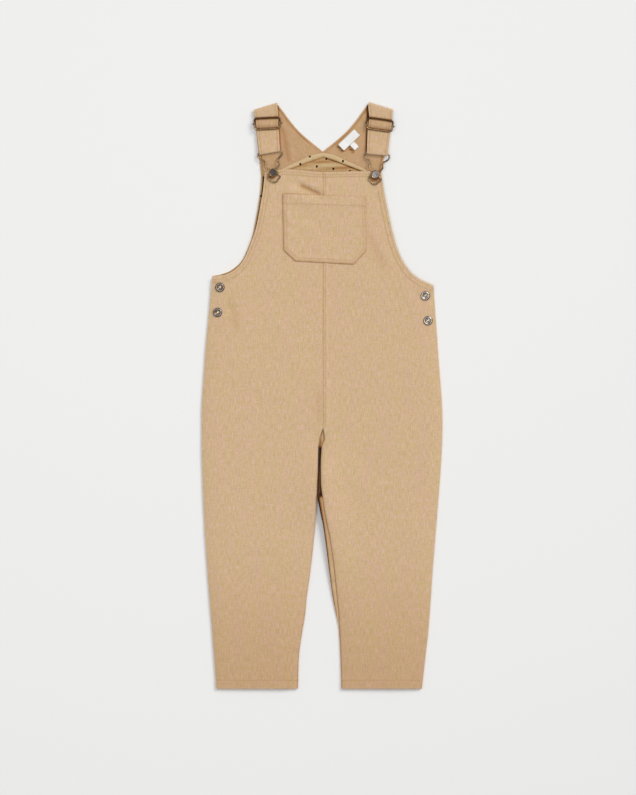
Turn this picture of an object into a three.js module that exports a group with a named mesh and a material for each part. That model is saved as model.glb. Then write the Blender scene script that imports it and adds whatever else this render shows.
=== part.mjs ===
// Kids dungarees in sand cotton canvas, laid flat and face up, built from the pieces a maker cuts and sews.
// Millimetres. +X is to the right seen from above, +Y runs from the hems to the straps, and +Z is up.
// The origin is on the surface that the garment lies on, under the middle of its outline. Tables measure
// from a point beside it, and MIDDLE brings every piece to the origin at the end.
// Left and right are as seen from above.
import * as THREE from "three";

// Main sizes
const LENGTH = 732.8; // from the shoulder folds to the hems
const HEM_Y = 367.6 - LENGTH;
const MIDDLE = new THREE.Vector3(0.7, 1.2, 0); // middle of the outline in the tables' own X and Y
const CENTRE_SEAM_X = 2;
const CROTCH_Y = -39.5;
const BIB_TOP_Y = 281;
const UNDERARM_Y = { left: 148.6, right: 138.6 };
const CLOTH = 1.4; // wall of the canvas pieces
const STRAP_CLOTH = 1.2;
const FACING_CLOTH = 1.0;
const GAP = 0.3; // between neighbouring pieces

// Hem, seam and facing depths
const HEM_DEPTH = 10.5;
const HEM_EXTRA = 0.5; // added thickness of the turned hem
const INSEAM_ROLL = 1.5; // height that the right inseam allowance adds to the back
const EDGE_ROLL = 9; // distance over which a side seam or an armhole rounds up to the crown

// Outer edge of each half, from the hem up to the side opening
const SIDE_SEAM = [
  { y: HEM_Y, left: -131.2, right: 125.2 },
  { y: -330, left: -133.6, right: 129.1 },
  { y: -292, left: -136.4, right: 133.3 },
  { y: -217, left: -142.2, right: 138.7 },
  { y: -142, left: -146.7, right: 144.6 },
  { y: -67, left: -149.1, right: 149.9 },
  { y: -30, left: -149.3, right: 150.8 },
  { y: 45, left: -145.4, right: 146.1 },
  { y: 120, left: -138.8, right: 140.8 },
  { y: 150, left: -136.1, right: 138.7 },
];

// Armhole of the bib, from the underarm up to the top corner
const ARMHOLE_LEFT = [
  { y: 148.6, x: -136.2 },
  { y: 150.2, x: -126.5 },
  { y: 153.9, x: -115.5 },
  { y: 160.6, x: -105.4 },
  { y: 167.4, x: -99.2 },
  { y: 177.0, x: -94.1 },
  { y: 189.0, x: -89.1 },
  { y: 207.6, x: -82.6 },
  { y: 226.4, x: -78.5 },
  { y: 245.0, x: -75.3 },
  { y: 257.6, x: -73.2 },
  { y: 284.0, x: -70.6 },
];
const ARMHOLE_RIGHT = [
  { y: 138.6, x: 139.2 },
  { y: 141.4, x: 133.0 },
  { y: 146.0, x: 123.1 },
  { y: 150.0, x: 117.3 },
  { y: 154.2, x: 112.2 },
  { y: 161.0, x: 106.7 },
  { y: 170.5, x: 100.7 },
  { y: 180.5, x: 96.1 },
  { y: 190.5, x: 92.5 },
  { y: 210.5, x: 87.3 },
  { y: 230.5, x: 83.0 },
  { y: 250.5, x: 79.1 },
  { y: 284.0, x: 74.3 },
];

// Armhole of the back, which shows past the bib on the left and hides under it on the right
const BACK_ARMHOLE_LEFT = [
  { y: 150.6, x: -136.2 },
  { y: 152.4, x: -126.6 },
  { y: 156.0, x: -116.0 },
  { y: 163.2, x: -105.6 },
  { y: 168.6, x: -100.4 },
  { y: 177.0, x: -95.6 },
  { y: 188.6, x: -90.7 },
  { y: 200.5, x: -86.5 },
  { y: 220.5, x: -82.4 },
  { y: 240.5, x: -78.8 },
  { y: 260.5, x: -76.0 },
  { y: 284.0, x: -74.7 },
];
const BACK_ARMHOLE_RIGHT = [
  { y: 137.0, x: 138.6 },
  { y: 144.6, x: 122.8 },
  { y: 152.8, x: 111.6 },
  { y: 164.0, x: 103.0 },
  { y: 180.5, x: 94.7 },
  { y: 210.5, x: 85.9 },
  { y: 255.5, x: 77.0 },
  { y: 284.0, x: 73.0 },
];

// Inner edges of the legs. The back legs meet under the front ones down to the end of the crotch.
const INSEAM = [
  { y: HEM_Y, frontLeft: -29.6, frontRight: 25.3, backLeft: -29.9, backRight: 24.9 },
  { y: -329.5, frontLeft: -28.8, frontRight: 24.6, backLeft: -29.1, backRight: 23.7 },
  { y: -292, frontLeft: -24.1, frontRight: 23.1, backLeft: -24.6, backRight: 21.6 },
  { y: -275, frontLeft: -21.1, frontRight: 22.2, backLeft: -21.6, backRight: 19.3 },
  { y: -254.5, frontLeft: -19.2, frontRight: 20.2, backLeft: -19.7, backRight: 16.0 },
  { y: -217, frontLeft: -14.1, frontRight: 16.6, backLeft: -14.6, backRight: 11.1 },
  { y: -180, frontLeft: -10.0, frontRight: 11.4, backLeft: -10.5, backRight: 6.5 },
  { y: -148, frontLeft: -7.5, frontRight: 5.1, backLeft: -8.0, backRight: 1.8 },
  { y: -126, frontLeft: -6.2, frontRight: 1.8, backLeft: -6.2, backRight: -1.2 },
  { y: -122, frontLeft: -6.0, frontRight: 1.2, backLeft: -4.2, backRight: -2.4 },
  { y: -108, frontLeft: -5.5, frontRight: -0.4, backLeft: -3.5, backRight: -3.1 },
  { y: -86, frontLeft: -4.8, frontRight: -0.6, backLeft: -2.9, backRight: -2.5 },
  { y: -64.5, frontLeft: -4.5, frontRight: 0.6, backLeft: -2.4, backRight: -2.0 },
  { y: -52, frontLeft: -2.9, frontRight: 4.2, backLeft: -0.7, backRight: -0.3 },
  { y: CROTCH_Y, frontLeft: 1.8, frontRight: 2.2, backLeft: 0.8, backRight: 1.2 },
];

// Height of the crown that the front makes over the back, height of the middle of its wall at a closed edge,
// and distance over which it rounds down to the inseam, which is short beside the narrow gap under the crotch
const FULLNESS = [
  { y: HEM_Y, crown: 1.2, edge: 2.4, inseamRoll: 9 },
  { y: -325, crown: 1.9, edge: 2.4, inseamRoll: 9 },
  { y: -200, crown: 2.4, edge: 2.4, inseamRoll: 8 },
  { y: -120, crown: 2.5, edge: 2.4, inseamRoll: 3 },
  { y: -60, crown: 2.6, edge: 2.4, inseamRoll: 2.5 },
  { y: 60, crown: 2.5, edge: 2.4, inseamRoll: 2.5 },
  { y: 118, crown: 1.9, edge: 2.6, inseamRoll: 2.5 },
  { y: 150, crown: 1.3, edge: 3.8, inseamRoll: 2.5 },
  { y: 215, crown: 1.0, edge: 4.1, inseamRoll: 2.5 },
  { y: BIB_TOP_Y + 4, crown: 0.6, edge: 4.3, inseamRoll: 2.5 },
];

// Rise and dip of the bib's top edge across its width
const BIB_TOP = [
  { x: -72, dy: -1.4 },
  { x: -44.6, dy: 2.6 },
  { x: 4, dy: -0.6 },
  { x: 57, dy: 0.2 },
  { x: 75, dy: -2.4 },
];
const BIB_TOP_BLEND = 45; // distance below the edge over which its rise and dip fade

// Soft folds of the front: from one end to the other, half width and height (below 0 is a trough)
const FOLDS = [
  { name: "bib crease", x0: -40, y0: 268, x1: 0, y1: 248, width: 6, height: -0.7 },
  { name: "bib ridge", x0: -48, y0: 258, x1: -12, y1: 240, width: 7, height: 0.5 },
  { name: "pocket drag", x0: -42, y0: 226, x1: 8, y1: 178, width: 9, height: 0.5 },
  { name: "pocket hollow", x0: -30, y0: 236, x1: 22, y1: 190, width: 8, height: -0.4 },
  { name: "right bib ridge", x0: 18, y0: 262, x1: 52, y1: 272, width: 7, height: 0.4 },
  { name: "left underarm", x0: -128, y0: 92, x1: -96, y1: 150, width: 9, height: 0.6 },
  { name: "right underarm", x0: 128, y0: 84, x1: 100, y1: 142, width: 8, height: 0.5 },
  { name: "centre seam rise", x0: 2, y0: 30, x1: 2, y1: -34, width: 11, height: 0.7 },
  { name: "left hip drag", x0: -138, y0: 64, x1: -60, y1: 30, width: 14, height: 0.4 },
  { name: "right hip drag", x0: 136, y0: 52, x1: 66, y1: 14, width: 14, height: 0.4 },
  { name: "left crotch drag", x0: -14, y0: -52, x1: -62, y1: -120, width: 10, height: 0.5 },
  { name: "left crotch hollow", x0: -22, y0: -40, x1: -78, y1: -96, width: 11, height: -0.5 },
  { name: "right crotch drag", x0: 14, y0: -56, x1: 58, y1: -132, width: 10, height: 0.5 },
  { name: "right crotch hollow", x0: 26, y0: -44, x1: 78, y1: -104, width: 11, height: -0.5 },
  { name: "left knee ridge", x0: -120, y0: -150, x1: -44, y1: -196, width: 16, height: 0.5 },
  { name: "right knee ridge", x0: 122, y0: -158, x1: 50, y1: -206, width: 16, height: 0.5 },
  { name: "left knee hollow", x0: -28, y0: -214, x1: -88, y1: -262, width: 12, height: -0.5 },
  { name: "right knee hollow", x0: 36, y0: -232, x1: 96, y1: -276, width: 12, height: -0.5 },
  { name: "left hem wave", x0: -66, y0: -290, x1: -52, y1: HEM_Y, width: 14, height: 0.5 },
  { name: "right hem wave", x0: 96, y0: -300, x1: 88, y1: HEM_Y, width: 14, height: 0.5 },
];

// Seam between the back and the two strap bases: it falls from the middle of the neck to both armholes
const YOKE_PEAK_Y = 302.8;
const YOKE_FALL = 0.375; // fall for each millimetre away from the centre

// Neck edge of each strap base, by distance from the middle, up to the shoulder fold
const NECK_MIDDLE_X = 1.6;
const NECK = [
  { y: 306, x: 0.2 },
  { y: 310.5, x: 5.7 },
  { y: 315.5, x: 11.9 },
  { y: 320.5, x: 18.1 },
  { y: 325.5, x: 23.8 },
  { y: 330.5, x: 29.2 },
  { y: 340.5, x: 38.1 },
  { y: 350.5, x: 45.7 },
  { y: 360.5, x: 52.5 },
  { y: 367, x: 56.9 },
];

// Facing inside the top of the back, by distance from the middle: its upper edge and its fold under that
const FACING_TOP = [
  { off: 0, top: 304.4, fold: 300.2 },
  { off: 14, top: 301.6, fold: 295.4 },
  { off: 27, top: 295.6, fold: 290.3 },
  { off: 41, top: 289.2, fold: 285.0 },
  { off: 53, top: 283.6, fold: 280.0 },
  { off: 76, top: 275.5, fold: 271.0 },
];
const FACING_BOTTOM_Y = 256;
const ARMHOLE_FACING_WIDTH = 7;

// Each strap: the ends of its shoulder fold, the button that it hooks on to, and its slider
const STRAPS = {
  left: {
    foldOuter: { x: -84.9, y: 358.0 },
    foldInner: { x: -56.0, y: 366.9 },
    baseOuterX: -75.1,
    button: { x: -60.3, y: 279.3 },
    end: { x: -64.7, y: 304.9 },
    slider: { x: -67.8, y: 340.9, turn: 3 },
  },
  right: {
    foldOuter: { x: 89.5, y: 358.4 },
    foldInner: { x: 59.2, y: 367.6 },
    baseOuterX: 74.0,
    button: { x: 67.1, y: 276.9 },
    end: { x: 69.6, y: 302.7 },
    slider: { x: 72.9, y: 339.4, turn: -8 },
  },
};
const STRAP_END_WIDTH = 26;
const SLIDER = { width: 33.6, height: 15.4, wire: 2.0, corner: 2.4, barReach: 0.6, knob: 2.4 };
const SLIDER_PINCH = 0.045; // share by which the strap narrows inside its slider
const HOOK_WIRE = 1.8;

// Heights of the middles of stacked layers
const REAR_PLY_Z = CLOTH + GAP + STRAP_CLOTH / 2;
const SLIDER_BAR_Z = REAR_PLY_Z + STRAP_CLOTH / 2 + GAP + SLIDER.wire / 2;
const SLIDER_Z = SLIDER_BAR_Z + SLIDER.wire + GAP;
const FRONT_PLY_Z = SLIDER_Z - SLIDER.wire / 2 - GAP - STRAP_CLOTH / 2;
const OVER_BAR_Z = SLIDER_BAR_Z + SLIDER.wire / 2 + GAP + STRAP_CLOTH / 2;
const HOOK_BAR_Z = REAR_PLY_Z + STRAP_CLOTH / 2 + GAP + HOOK_WIRE / 2;
const HOOK_FRONT_PLY_Z = HOOK_BAR_Z + HOOK_WIRE / 2 + GAP + STRAP_CLOTH / 2;
const HOOK_ON_BIB_Z = 6.9;

// Half outline of the hook's wire, from the middle of its lower lobe to the bar in the strap's end.
// along runs from the button towards the strap, and across is to one side.
const HOOK_OUTLINE = [
  { across: 0, along: -12.2 },
  { across: 2.6, along: -11.3 },
  { across: 4.2, along: -9.5 },
  { across: 6.0, along: -8.1 },
  { across: 7.7, along: -6.0 },
  { across: 7.0, along: -3.9 },
  { across: 4.3, along: -1.6 },
  { across: 3.5, along: 1.6 },
  { across: 4.6, along: 4.4 },
  { across: 7.5, along: 6.8 },
  { across: 8.8, along: 9.6 },
  { across: 8.4, along: 12.4 },
  { across: 7.8, along: 14.2 },
  { across: 9.4, along: 16.7 },
  { across: 12.4, along: 18.6 },
  { across: 14.7, along: 21.0 },
  { across: 15.2, along: 24.2 },
  { across: 13.9, along: 26.6 },
  { across: 11.0, along: 27.0 },
  { across: 5.5, along: 27.0 },
];
const HOOK_BAR_ALONG = 27;

const BUTTON = { cap: 5.3, rim: 0.7, shank: 1.9, foot: 2.3 };
const SNAP = { radius: 5.8, height: 2.0, dish: 3.0, stud: 1.5 };
const SNAPS = [
  { name: "snap_left_upper", side: "left", x: -126.8, y: 136.2 },
  { name: "snap_left_lower", side: "left", x: -129.6, y: 104.9 },
  { name: "snap_right_upper", side: "right", x: 129.6, y: 125.6 },
  { name: "snap_right_lower", side: "right", x: 132.8, y: 94.5 },
];

// Patch pocket: its edges from the bottom up, with the lower corners cut off
const POCKET = [
  { y: 167.0, left: -32.6, right: 40.4, tilt: -4.0 },
  { y: 182.2, left: -47.3, right: 56.1, tilt: -1.6 },
  { y: 250.8, left: -48.5, right: 55.4, tilt: -4.3 },
];
const POCKET_HEM = 12.5;
const POCKET_HEM_EXTRA = 0.5;
const POCKET_GAPE = 0.9; // how far the mouth stands off the bib

// Neck label and size tab, both plain: the middle, size and turn of each
const LABEL = { x: 34.5, y: 320.4, long: 28, wide: 10.3, turn: 44, lift: 1.6 };
const SIZE_TAB = { x: 41.0, y: 313.0, long: 8.8, wide: 7.0, turn: -46 };

const MATERIALS = {
  canvas: new THREE.MeshStandardMaterial({ color: 0xcdb08a, roughness: 0.9, metalness: 0 }),
  print: new THREE.MeshStandardMaterial({ color: 0xc6ad78, roughness: 0.9, metalness: 0 }),
  label: new THREE.MeshStandardMaterial({ color: 0xefeeea, roughness: 0.8, metalness: 0 }),
  brass: new THREE.MeshStandardMaterial({ color: 0x8d7446, roughness: 0.35, metalness: 1 }),
  gunmetal: new THREE.MeshStandardMaterial({ color: 0x5d5a5c, roughness: 0.4, metalness: 1 }),
};

const garment = new THREE.Group();

function add(name, geometry, material) {
  const mesh = new THREE.Mesh(geometry, material);
  mesh.name = name;
  garment.add(mesh);
  return mesh;
}

const { lerp, smoothstep, degToRad } = THREE.MathUtils;

// A smooth curve through one column of a table, with no overshoot between its rows.
function curve(table, column, key = "y") {
  const rows = [...table].sort((a, b) => a[key] - b[key]);
  const at = rows.map((row) => row[key]);
  const value = rows.map((row) => row[column]);
  const step = at.slice(1).map((a, i) => (value[i + 1] - value[i]) / (a - at[i]));
  const slope = value.map((_, i) => {
    if (i === 0) return step[0];
    if (i === value.length - 1) return step[i - 1];
    const [before, after] = [step[i - 1], step[i]];
    return before * after <= 0 ? 0 : (2 * before * after) / (before + after);
  });
  return (where) => {
    const a = THREE.MathUtils.clamp(where, at[0], at.at(-1));
    let i = 0;
    while (i < at.length - 2 && a > at[i + 1]) i += 1;
    const width = at[i + 1] - at[i];
    const t = (a - at[i]) / width;
    const [t2, t3] = [t * t, t * t * t];
    return (
      value[i] * (2 * t3 - 3 * t2 + 1) +
      slope[i] * width * (t3 - 2 * t2 + t) +
      value[i + 1] * (3 * t2 - 2 * t3) +
      slope[i + 1] * width * (t3 - t2)
    );
  };
}

// count + 1 numbers from one end to the other; power above 1 crowds them at the start.
function spread(from, to, count, power = 1) {
  return Array.from({ length: count + 1 }, (_, i) => lerp(from, to, (i / count) ** power));
}

// Shares from 0 to 1 that crowd at both ends, where closed edges round off.
function crowded(count) {
  return spread(0, 1, count).map((t) => (1 - Math.cos(Math.PI * t)) / 2);
}

// A closed wall from two grids of points, one for each face: rows run up and columns run to the right.
function wall(topRows, bottomRows) {
  const rows = topRows.length;
  const columns = topRows[0].length;
  const points = [...topRows.flat(), ...bottomRows.flat()];
  const top = (i, j) => i * columns + j;
  const bottom = (i, j) => (rows + i) * columns + j;
  const faces = [];
  const quad = (a, b, c, d) => faces.push(a, b, c, a, c, d);
  for (let i = 0; i < rows - 1; i += 1) {
    for (let j = 0; j < columns - 1; j += 1) {
      quad(top(i, j), top(i, j + 1), top(i + 1, j + 1), top(i + 1, j));
      quad(bottom(i, j), bottom(i + 1, j), bottom(i + 1, j + 1), bottom(i, j + 1));
    }
    const last = columns - 1;
    quad(top(i, 0), top(i + 1, 0), bottom(i + 1, 0), bottom(i, 0));
    quad(top(i, last), bottom(i, last), bottom(i + 1, last), top(i + 1, last));
  }
  for (let j = 0; j < columns - 1; j += 1) {
    const last = rows - 1;
    quad(top(0, j), bottom(0, j), bottom(0, j + 1), top(0, j + 1));
    quad(top(last, j), top(last, j + 1), bottom(last, j + 1), bottom(last, j));
  }
  return new THREE.BufferGeometry().setFromPoints(points).setIndex(faces);
}

// A wall of even thickness about a grid of middle points: half of it goes to each side, along the normal.
function clothWall(middles, thickness) {
  const at = (i, j) => {
    const row = middles[THREE.MathUtils.clamp(i, 0, middles.length - 1)];
    return row[THREE.MathUtils.clamp(j, 0, row.length - 1)];
  };
  const face = (side) =>
    middles.map((row, i) =>
      row.map((middle, j) => {
        const across = at(i, j + 1).clone().sub(at(i, j - 1));
        const along = at(i + 1, j).clone().sub(at(i - 1, j));
        const normal = across.cross(along).normalize();
        return middle.clone().addScaledVector(normal, (side * thickness(middle)) / 2);
      }),
    );
  return wall(face(1), face(-1));
}

const sideSeam = { left: curve(SIDE_SEAM, "left"), right: curve(SIDE_SEAM, "right") };
const armhole = { left: curve(ARMHOLE_LEFT, "x"), right: curve(ARMHOLE_RIGHT, "x") };
const backArmhole = { left: curve(BACK_ARMHOLE_LEFT, "x"), right: curve(BACK_ARMHOLE_RIGHT, "x") };
const backUnderarmY = { left: BACK_ARMHOLE_LEFT[0].y, right: BACK_ARMHOLE_RIGHT[0].y };
const inseam = {
  front: { left: curve(INSEAM, "frontLeft"), right: curve(INSEAM, "frontRight") },
  back: { left: curve(INSEAM, "backLeft"), right: curve(INSEAM, "backRight") },
};
const crown = curve(FULLNESS, "crown");
const edgeHeight = curve(FULLNESS, "edge");
const inseamRoll = curve(FULLNESS, "inseamRoll");
const bibTop = curve(BIB_TOP, "dy", "x");
const neck = curve(NECK, "x");

const frontOuter = (side, y) => (y < UNDERARM_Y[side] ? sideSeam[side](y) : armhole[side](y));
const backOuter = (side, y) => (y < backUnderarmY[side] ? sideSeam[side](y) : backArmhole[side](y));
const yokeSeamY = (x) => YOKE_PEAK_Y - YOKE_FALL * Math.abs(x - CENTRE_SEAM_X);
const hemExtra = (y) => (y < HEM_Y + HEM_DEPTH - 0.1 ? HEM_EXTRA : 0);
const rounding = (distance, roll) => 1 - Math.exp(-Math.max(distance, 0) / roll);

// Height that one fold adds at a point: a soft bell across it that fades out towards both ends.
function foldHeight(fold, x, y) {
  const [dx, dy] = [fold.x1 - fold.x0, fold.y1 - fold.y0];
  const length = Math.hypot(dx, dy);
  const along = ((x - fold.x0) * dx + (y - fold.y0) * dy) / length / length;
  const off = ((x - fold.x0) * dy - (y - fold.y0) * dx) / length;
  const past = Math.max(0, Math.abs(along - 0.5) - 0.3) * length;
  return fold.height * Math.exp(-((off / fold.width) ** 2) - (past / fold.width / 1.6) ** 2);
}

// Height of the middle of the front's wall at a point.
function frontZ(side, x, y) {
  const fromOuter = Math.abs(frontOuter(side, y) - x);
  const fromInner = Math.abs(x - inseam.front[side](y));
  const legOpen = smoothstep(CROTCH_Y - y, 0, 30);
  const inner = lerp(1, rounding(fromInner, inseamRoll(y)), legOpen);
  const round = rounding(fromOuter, EDGE_ROLL) * inner;
  const folds = FOLDS.reduce((sum, fold) => sum + foldHeight(fold, x, y), 0);
  return edgeHeight(y) + round * (crown(y) + folds * round);
}

// Normal of the front's middle surface at a point.
function frontNormal(side, x, y) {
  const reach = 2;
  const slopeX = (frontZ(side, x + reach, y) - frontZ(side, x - reach, y)) / (2 * reach);
  const slopeY = (frontZ(side, x, y + reach) - frontZ(side, x, y - reach)) / (2 * reach);
  return new THREE.Vector3(-slopeX, -slopeY, 1).normalize();
}

// Front: bib and leg in one cut for each half, joined by the centre seam from the bib's top to the crotch.
function frontHalf(side) {
  const rows = [
    HEM_Y,
    ...spread(HEM_Y + HEM_DEPTH - 0.6, HEM_Y + HEM_DEPTH, 1),
    ...spread(HEM_Y + HEM_DEPTH, CROTCH_Y - 26, 15).slice(1),
    ...spread(CROTCH_Y - 26, CROTCH_Y, 4).slice(1),
    ...spread(CROTCH_Y, UNDERARM_Y[side] - 0.4, 10).slice(1),
    ...spread(UNDERARM_Y[side], BIB_TOP_Y, 17, 1.7),
  ];
  const middles = rows.map((y) => {
    const inner = inseam.front[side](y);
    const outer = frontOuter(side, y);
    const [low, high] = side === "left" ? [outer, inner] : [inner, outer];
    return crowded(12).map((share) => {
      const x = lerp(low, high, share);
      const topShape = bibTop(x) * smoothstep(y, BIB_TOP_Y - BIB_TOP_BLEND, BIB_TOP_Y);
      return new THREE.Vector3(x, y + topShape, frontZ(side, x, y) + hemExtra(y) / 2);
    });
  });
  return clothWall(middles, (point) => CLOTH + hemExtra(point.y));
}

// Back: lies flat on its whole underside, with a seam to the strap bases along its top.
// On the right its inseam allowance shows past the front as a low roll.
function backHalf(side) {
  const backHem = HEM_Y + 0.6;
  const middleY = yokeSeamY(CENTRE_SEAM_X);
  const rows = [
    ...spread(backHem, CROTCH_Y - 26, 13),
    ...spread(CROTCH_Y - 26, CROTCH_Y, 3).slice(1),
    ...spread(CROTCH_Y, backUnderarmY[side] - 0.4, 5).slice(1),
    ...spread(backUnderarmY[side], 262, 13, 1.8),
    middleY,
  ];
  const rollShares = [0, 0.12, 0.5, 0.88, 1];
  const top = rows.map((y) => {
    const inner = inseam.back[side](y);
    const outer = backOuter(side, Math.min(y, yokeSeamY(backArmhole[side](y))));
    const front = inseam.front[side](y);
    const roll = Math.max(1.6, Math.abs(front - inner) - GAP);
    const toOuter = Math.sign(outer - inner);
    const seen = smoothstep(roll, 2.2, 6) * smoothstep(-y, -CROTCH_Y + 40, -CROTCH_Y + 75);
    const rollColumns = rollShares.map((share) => ({
      x: inner + toOuter * roll * share,
      z: CLOTH + INSEAM_ROLL * seen * Math.sin(Math.PI * share) ** 0.7 * (side === "right"),
    }));
    const start = rollColumns.at(-1).x;
    const flatColumns = spread(start, outer, 3).slice(1).map((x) => ({ x, z: CLOTH }));
    const columns = [...rollColumns, ...flatColumns];
    if (side === "left") columns.reverse();
    return columns.map(({ x, z }) => new THREE.Vector3(x, Math.min(y, yokeSeamY(x) - GAP / 2), z));
  });
  return wall(top, top.map((row) => row.map((point) => new THREE.Vector3(point.x, point.y, 0))));
}

// The frame of a strap's hook: where its button is, and the directions along and across it.
function hookFrame(side) {
  const { button, end } = STRAPS[side];
  const along = new THREE.Vector2(end.x - button.x, end.y - button.y).normalize();
  const across = new THREE.Vector2(along.y, -along.x);
  const at = (sideways, up) => ({
    x: button.x + across.x * sideways + along.x * up,
    y: button.y + across.y * sideways + along.y * up,
  });
  return { at };
}

// The distance of a point up from the middle of a strap's slider.
function aboveSlider(side, x, y) {
  const { slider } = STRAPS[side];
  const turn = degToRad(slider.turn);
  return (y - slider.y) * Math.cos(turn) - (x - slider.x) * Math.sin(turn);
}

// Strap: a wide base on the back, then the shoulder fold, the slider and the turn round the hook's bar.
function strap(side) {
  const { foldOuter, foldInner, baseOuterX } = STRAPS[side];
  const sign = side === "left" ? -1 : 1;
  const flat = CLOTH / 2;
  const hook = hookFrame(side);
  const endAlong = HOOK_BAR_ALONG - HOOK_WIRE / 2 - GAP - STRAP_CLOTH;
  const endOuter = hook.at((sign * STRAP_END_WIDTH) / 2, endAlong);
  const endInner = hook.at((-sign * STRAP_END_WIDTH) / 2, endAlong);
  const mix = (a, b, t) => ({ x: lerp(a.x, b.x, t), y: lerp(a.y, b.y, t) });
  const rows = [];
  const addRow = (outer, inner, height) => {
    const columns = spread(0, 1, 4).map((t) => {
      const point = side === "left" ? mix(outer, inner, t) : mix(inner, outer, t);
      return new THREE.Vector3(point.x, point.y, height(point.x, point.y));
    });
    rows.push(columns);
  };

  // Base on the back, from the yoke seam up to the shoulder
  const foldRadius = (FRONT_PLY_Z - flat) / 2;
  const outward = new THREE.Vector2(foldInner.y - foldOuter.y, foldOuter.x - foldInner.x).normalize();
  if (outward.y < 0) outward.negate();
  const shoulder = (corner, back) => ({
    x: corner.x - outward.x * back,
    y: corner.y - outward.y * back,
  });
  const foldDepth = foldRadius + STRAP_CLOTH / 2;
  const [turnOuter, turnInner] = [shoulder(foldOuter, foldDepth), shoulder(foldInner, foldDepth)];
  const innerFoot = { x: NECK_MIDDLE_X + sign * NECK[0].x, y: yokeSeamY(NECK_MIDDLE_X) + GAP };
  const outerFoot = { x: baseOuterX, y: yokeSeamY(baseOuterX) + GAP };
  const neckPoint = (y) => ({ x: NECK_MIDDLE_X + sign * neck(y), y });
  const neckRows = [innerFoot.y, ...spread(NECK[0].y, turnInner.y, 12)];
  neckRows.forEach((y, i) => {
    const t = i / (neckRows.length - 1);
    const inner = i === 0 ? innerFoot : mix(neckPoint(y), turnInner, smoothstep(t, 0.8, 1));
    addRow(mix(outerFoot, turnOuter, t), inner, () => flat);
  });

  // Shoulder fold
  spread(0, Math.PI, 5).slice(1, -1).forEach((angle) => {
    const back = foldDepth - foldRadius * Math.sin(angle);
    const z = flat + foldRadius * (1 - Math.cos(angle));
    addRow(shoulder(foldOuter, back), shoulder(foldInner, back), () => z);
  });

  // Front ply: under the slider's upper edge, over its bar, under its lower edge, then out to the hook
  const sliderHump = (x, y) => {
    const off = Math.abs(aboveSlider(side, x, y));
    return (OVER_BAR_Z - FRONT_PLY_Z) * (1 - smoothstep(off, 1.4, SLIDER.height / 2 - 2.2));
  };
  const overBar = (x, y) => FRONT_PLY_Z + sliderHump(x, y);
  const loopRise = HOOK_FRONT_PLY_Z - FRONT_PLY_Z;
  const loopRadius = (HOOK_FRONT_PLY_Z - REAR_PLY_Z) / 2 + 0.05;
  const loopDepth = loopRadius + STRAP_CLOTH / 2;
  const lift = (corner, by) => {
    const from = hook.at(0, endAlong);
    const to = hook.at(0, endAlong + by);
    return { x: corner.x + to.x - from.x, y: corner.y + to.y - from.y };
  };
  const [loopOuter, loopInner] = [lift(endOuter, loopDepth), lift(endInner, loopDepth)];
  spread(0, 1, 18).forEach((t) => {
    const rise = loopRise * smoothstep(t, 0.76, 0.97);
    const outer = mix(turnOuter, loopOuter, t);
    const inner = mix(turnInner, loopInner, t);
    const centre = mix(outer, inner, 0.5);
    const off = aboveSlider(side, centre.x, centre.y) / SLIDER.height;
    const pinch = SLIDER_PINCH * Math.exp(-((off / 0.8) ** 4));
    addRow(mix(outer, inner, pinch), mix(inner, outer, pinch), (x, y) => overBar(x, y) + rise);
  });

  // Loop round the hook's bar
  spread(0, Math.PI, 5).slice(1, -1).forEach((angle) => {
    const back = loopDepth - loopRadius * Math.sin(angle);
    const z = REAR_PLY_Z + loopRadius * (1 + Math.cos(angle));
    addRow(lift(endOuter, back), lift(endInner, back), () => z);
  });

  // Rear ply, which ends under the slider's bar
  spread(0, 0.64, 4).forEach((t) => {
    addRow(mix(loopOuter, turnOuter, t), mix(loopInner, turnInner, t), () => REAR_PLY_Z);
  });
  const baseRows = neckRows.length;
  const base = new Set(rows.slice(0, baseRows).flat());
  return clothWall(rows, (point) => (base.has(point) ? CLOTH : STRAP_CLOTH));
}

// Printed facing inside the top of the back, which rises to a point at the centre seam.
// Its folded upper band is thicker, and the cloth under the fold has one soft wrinkle.
function backFacing() {
  const top = curve(FACING_TOP, "top", "off");
  const fold = curve(FACING_TOP, "fold", "off");
  const under = CLOTH + GAP;
  const left = backArmhole.left(270) + ARMHOLE_FACING_WIDTH + 1;
  const right = backArmhole.right(270) - 1.4;
  const columns = spread(left, right, 26);
  const row = (height) => columns.map((x) => height(x, Math.abs(x - CENTRE_SEAM_X)));
  const wrinkle = (x, y) => 0.5 * Math.exp(-(((x - 6) / 26) ** 2) - ((y - 288.5) / 2.6) ** 2);
  const rows = [
    ...[0, 0.45, 0.68, 0.76, 0.84, 0.93, 1].map((share) =>
      row((x, off) => {
        const y = lerp(FACING_BOTTOM_Y, fold(off), share);
        return new THREE.Vector3(x, y, under + FACING_CLOTH + wrinkle(x, y));
      }),
    ),
    row((x, off) => new THREE.Vector3(x, fold(off) + 0.3, under + FACING_CLOTH + 0.5)),
    row((x, off) => new THREE.Vector3(x, top(off), under + FACING_CLOTH + 0.5)),
  ];
  return wall(rows, rows.map((points) => points.map((p) => new THREE.Vector3(p.x, p.y, under))));
}

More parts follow.
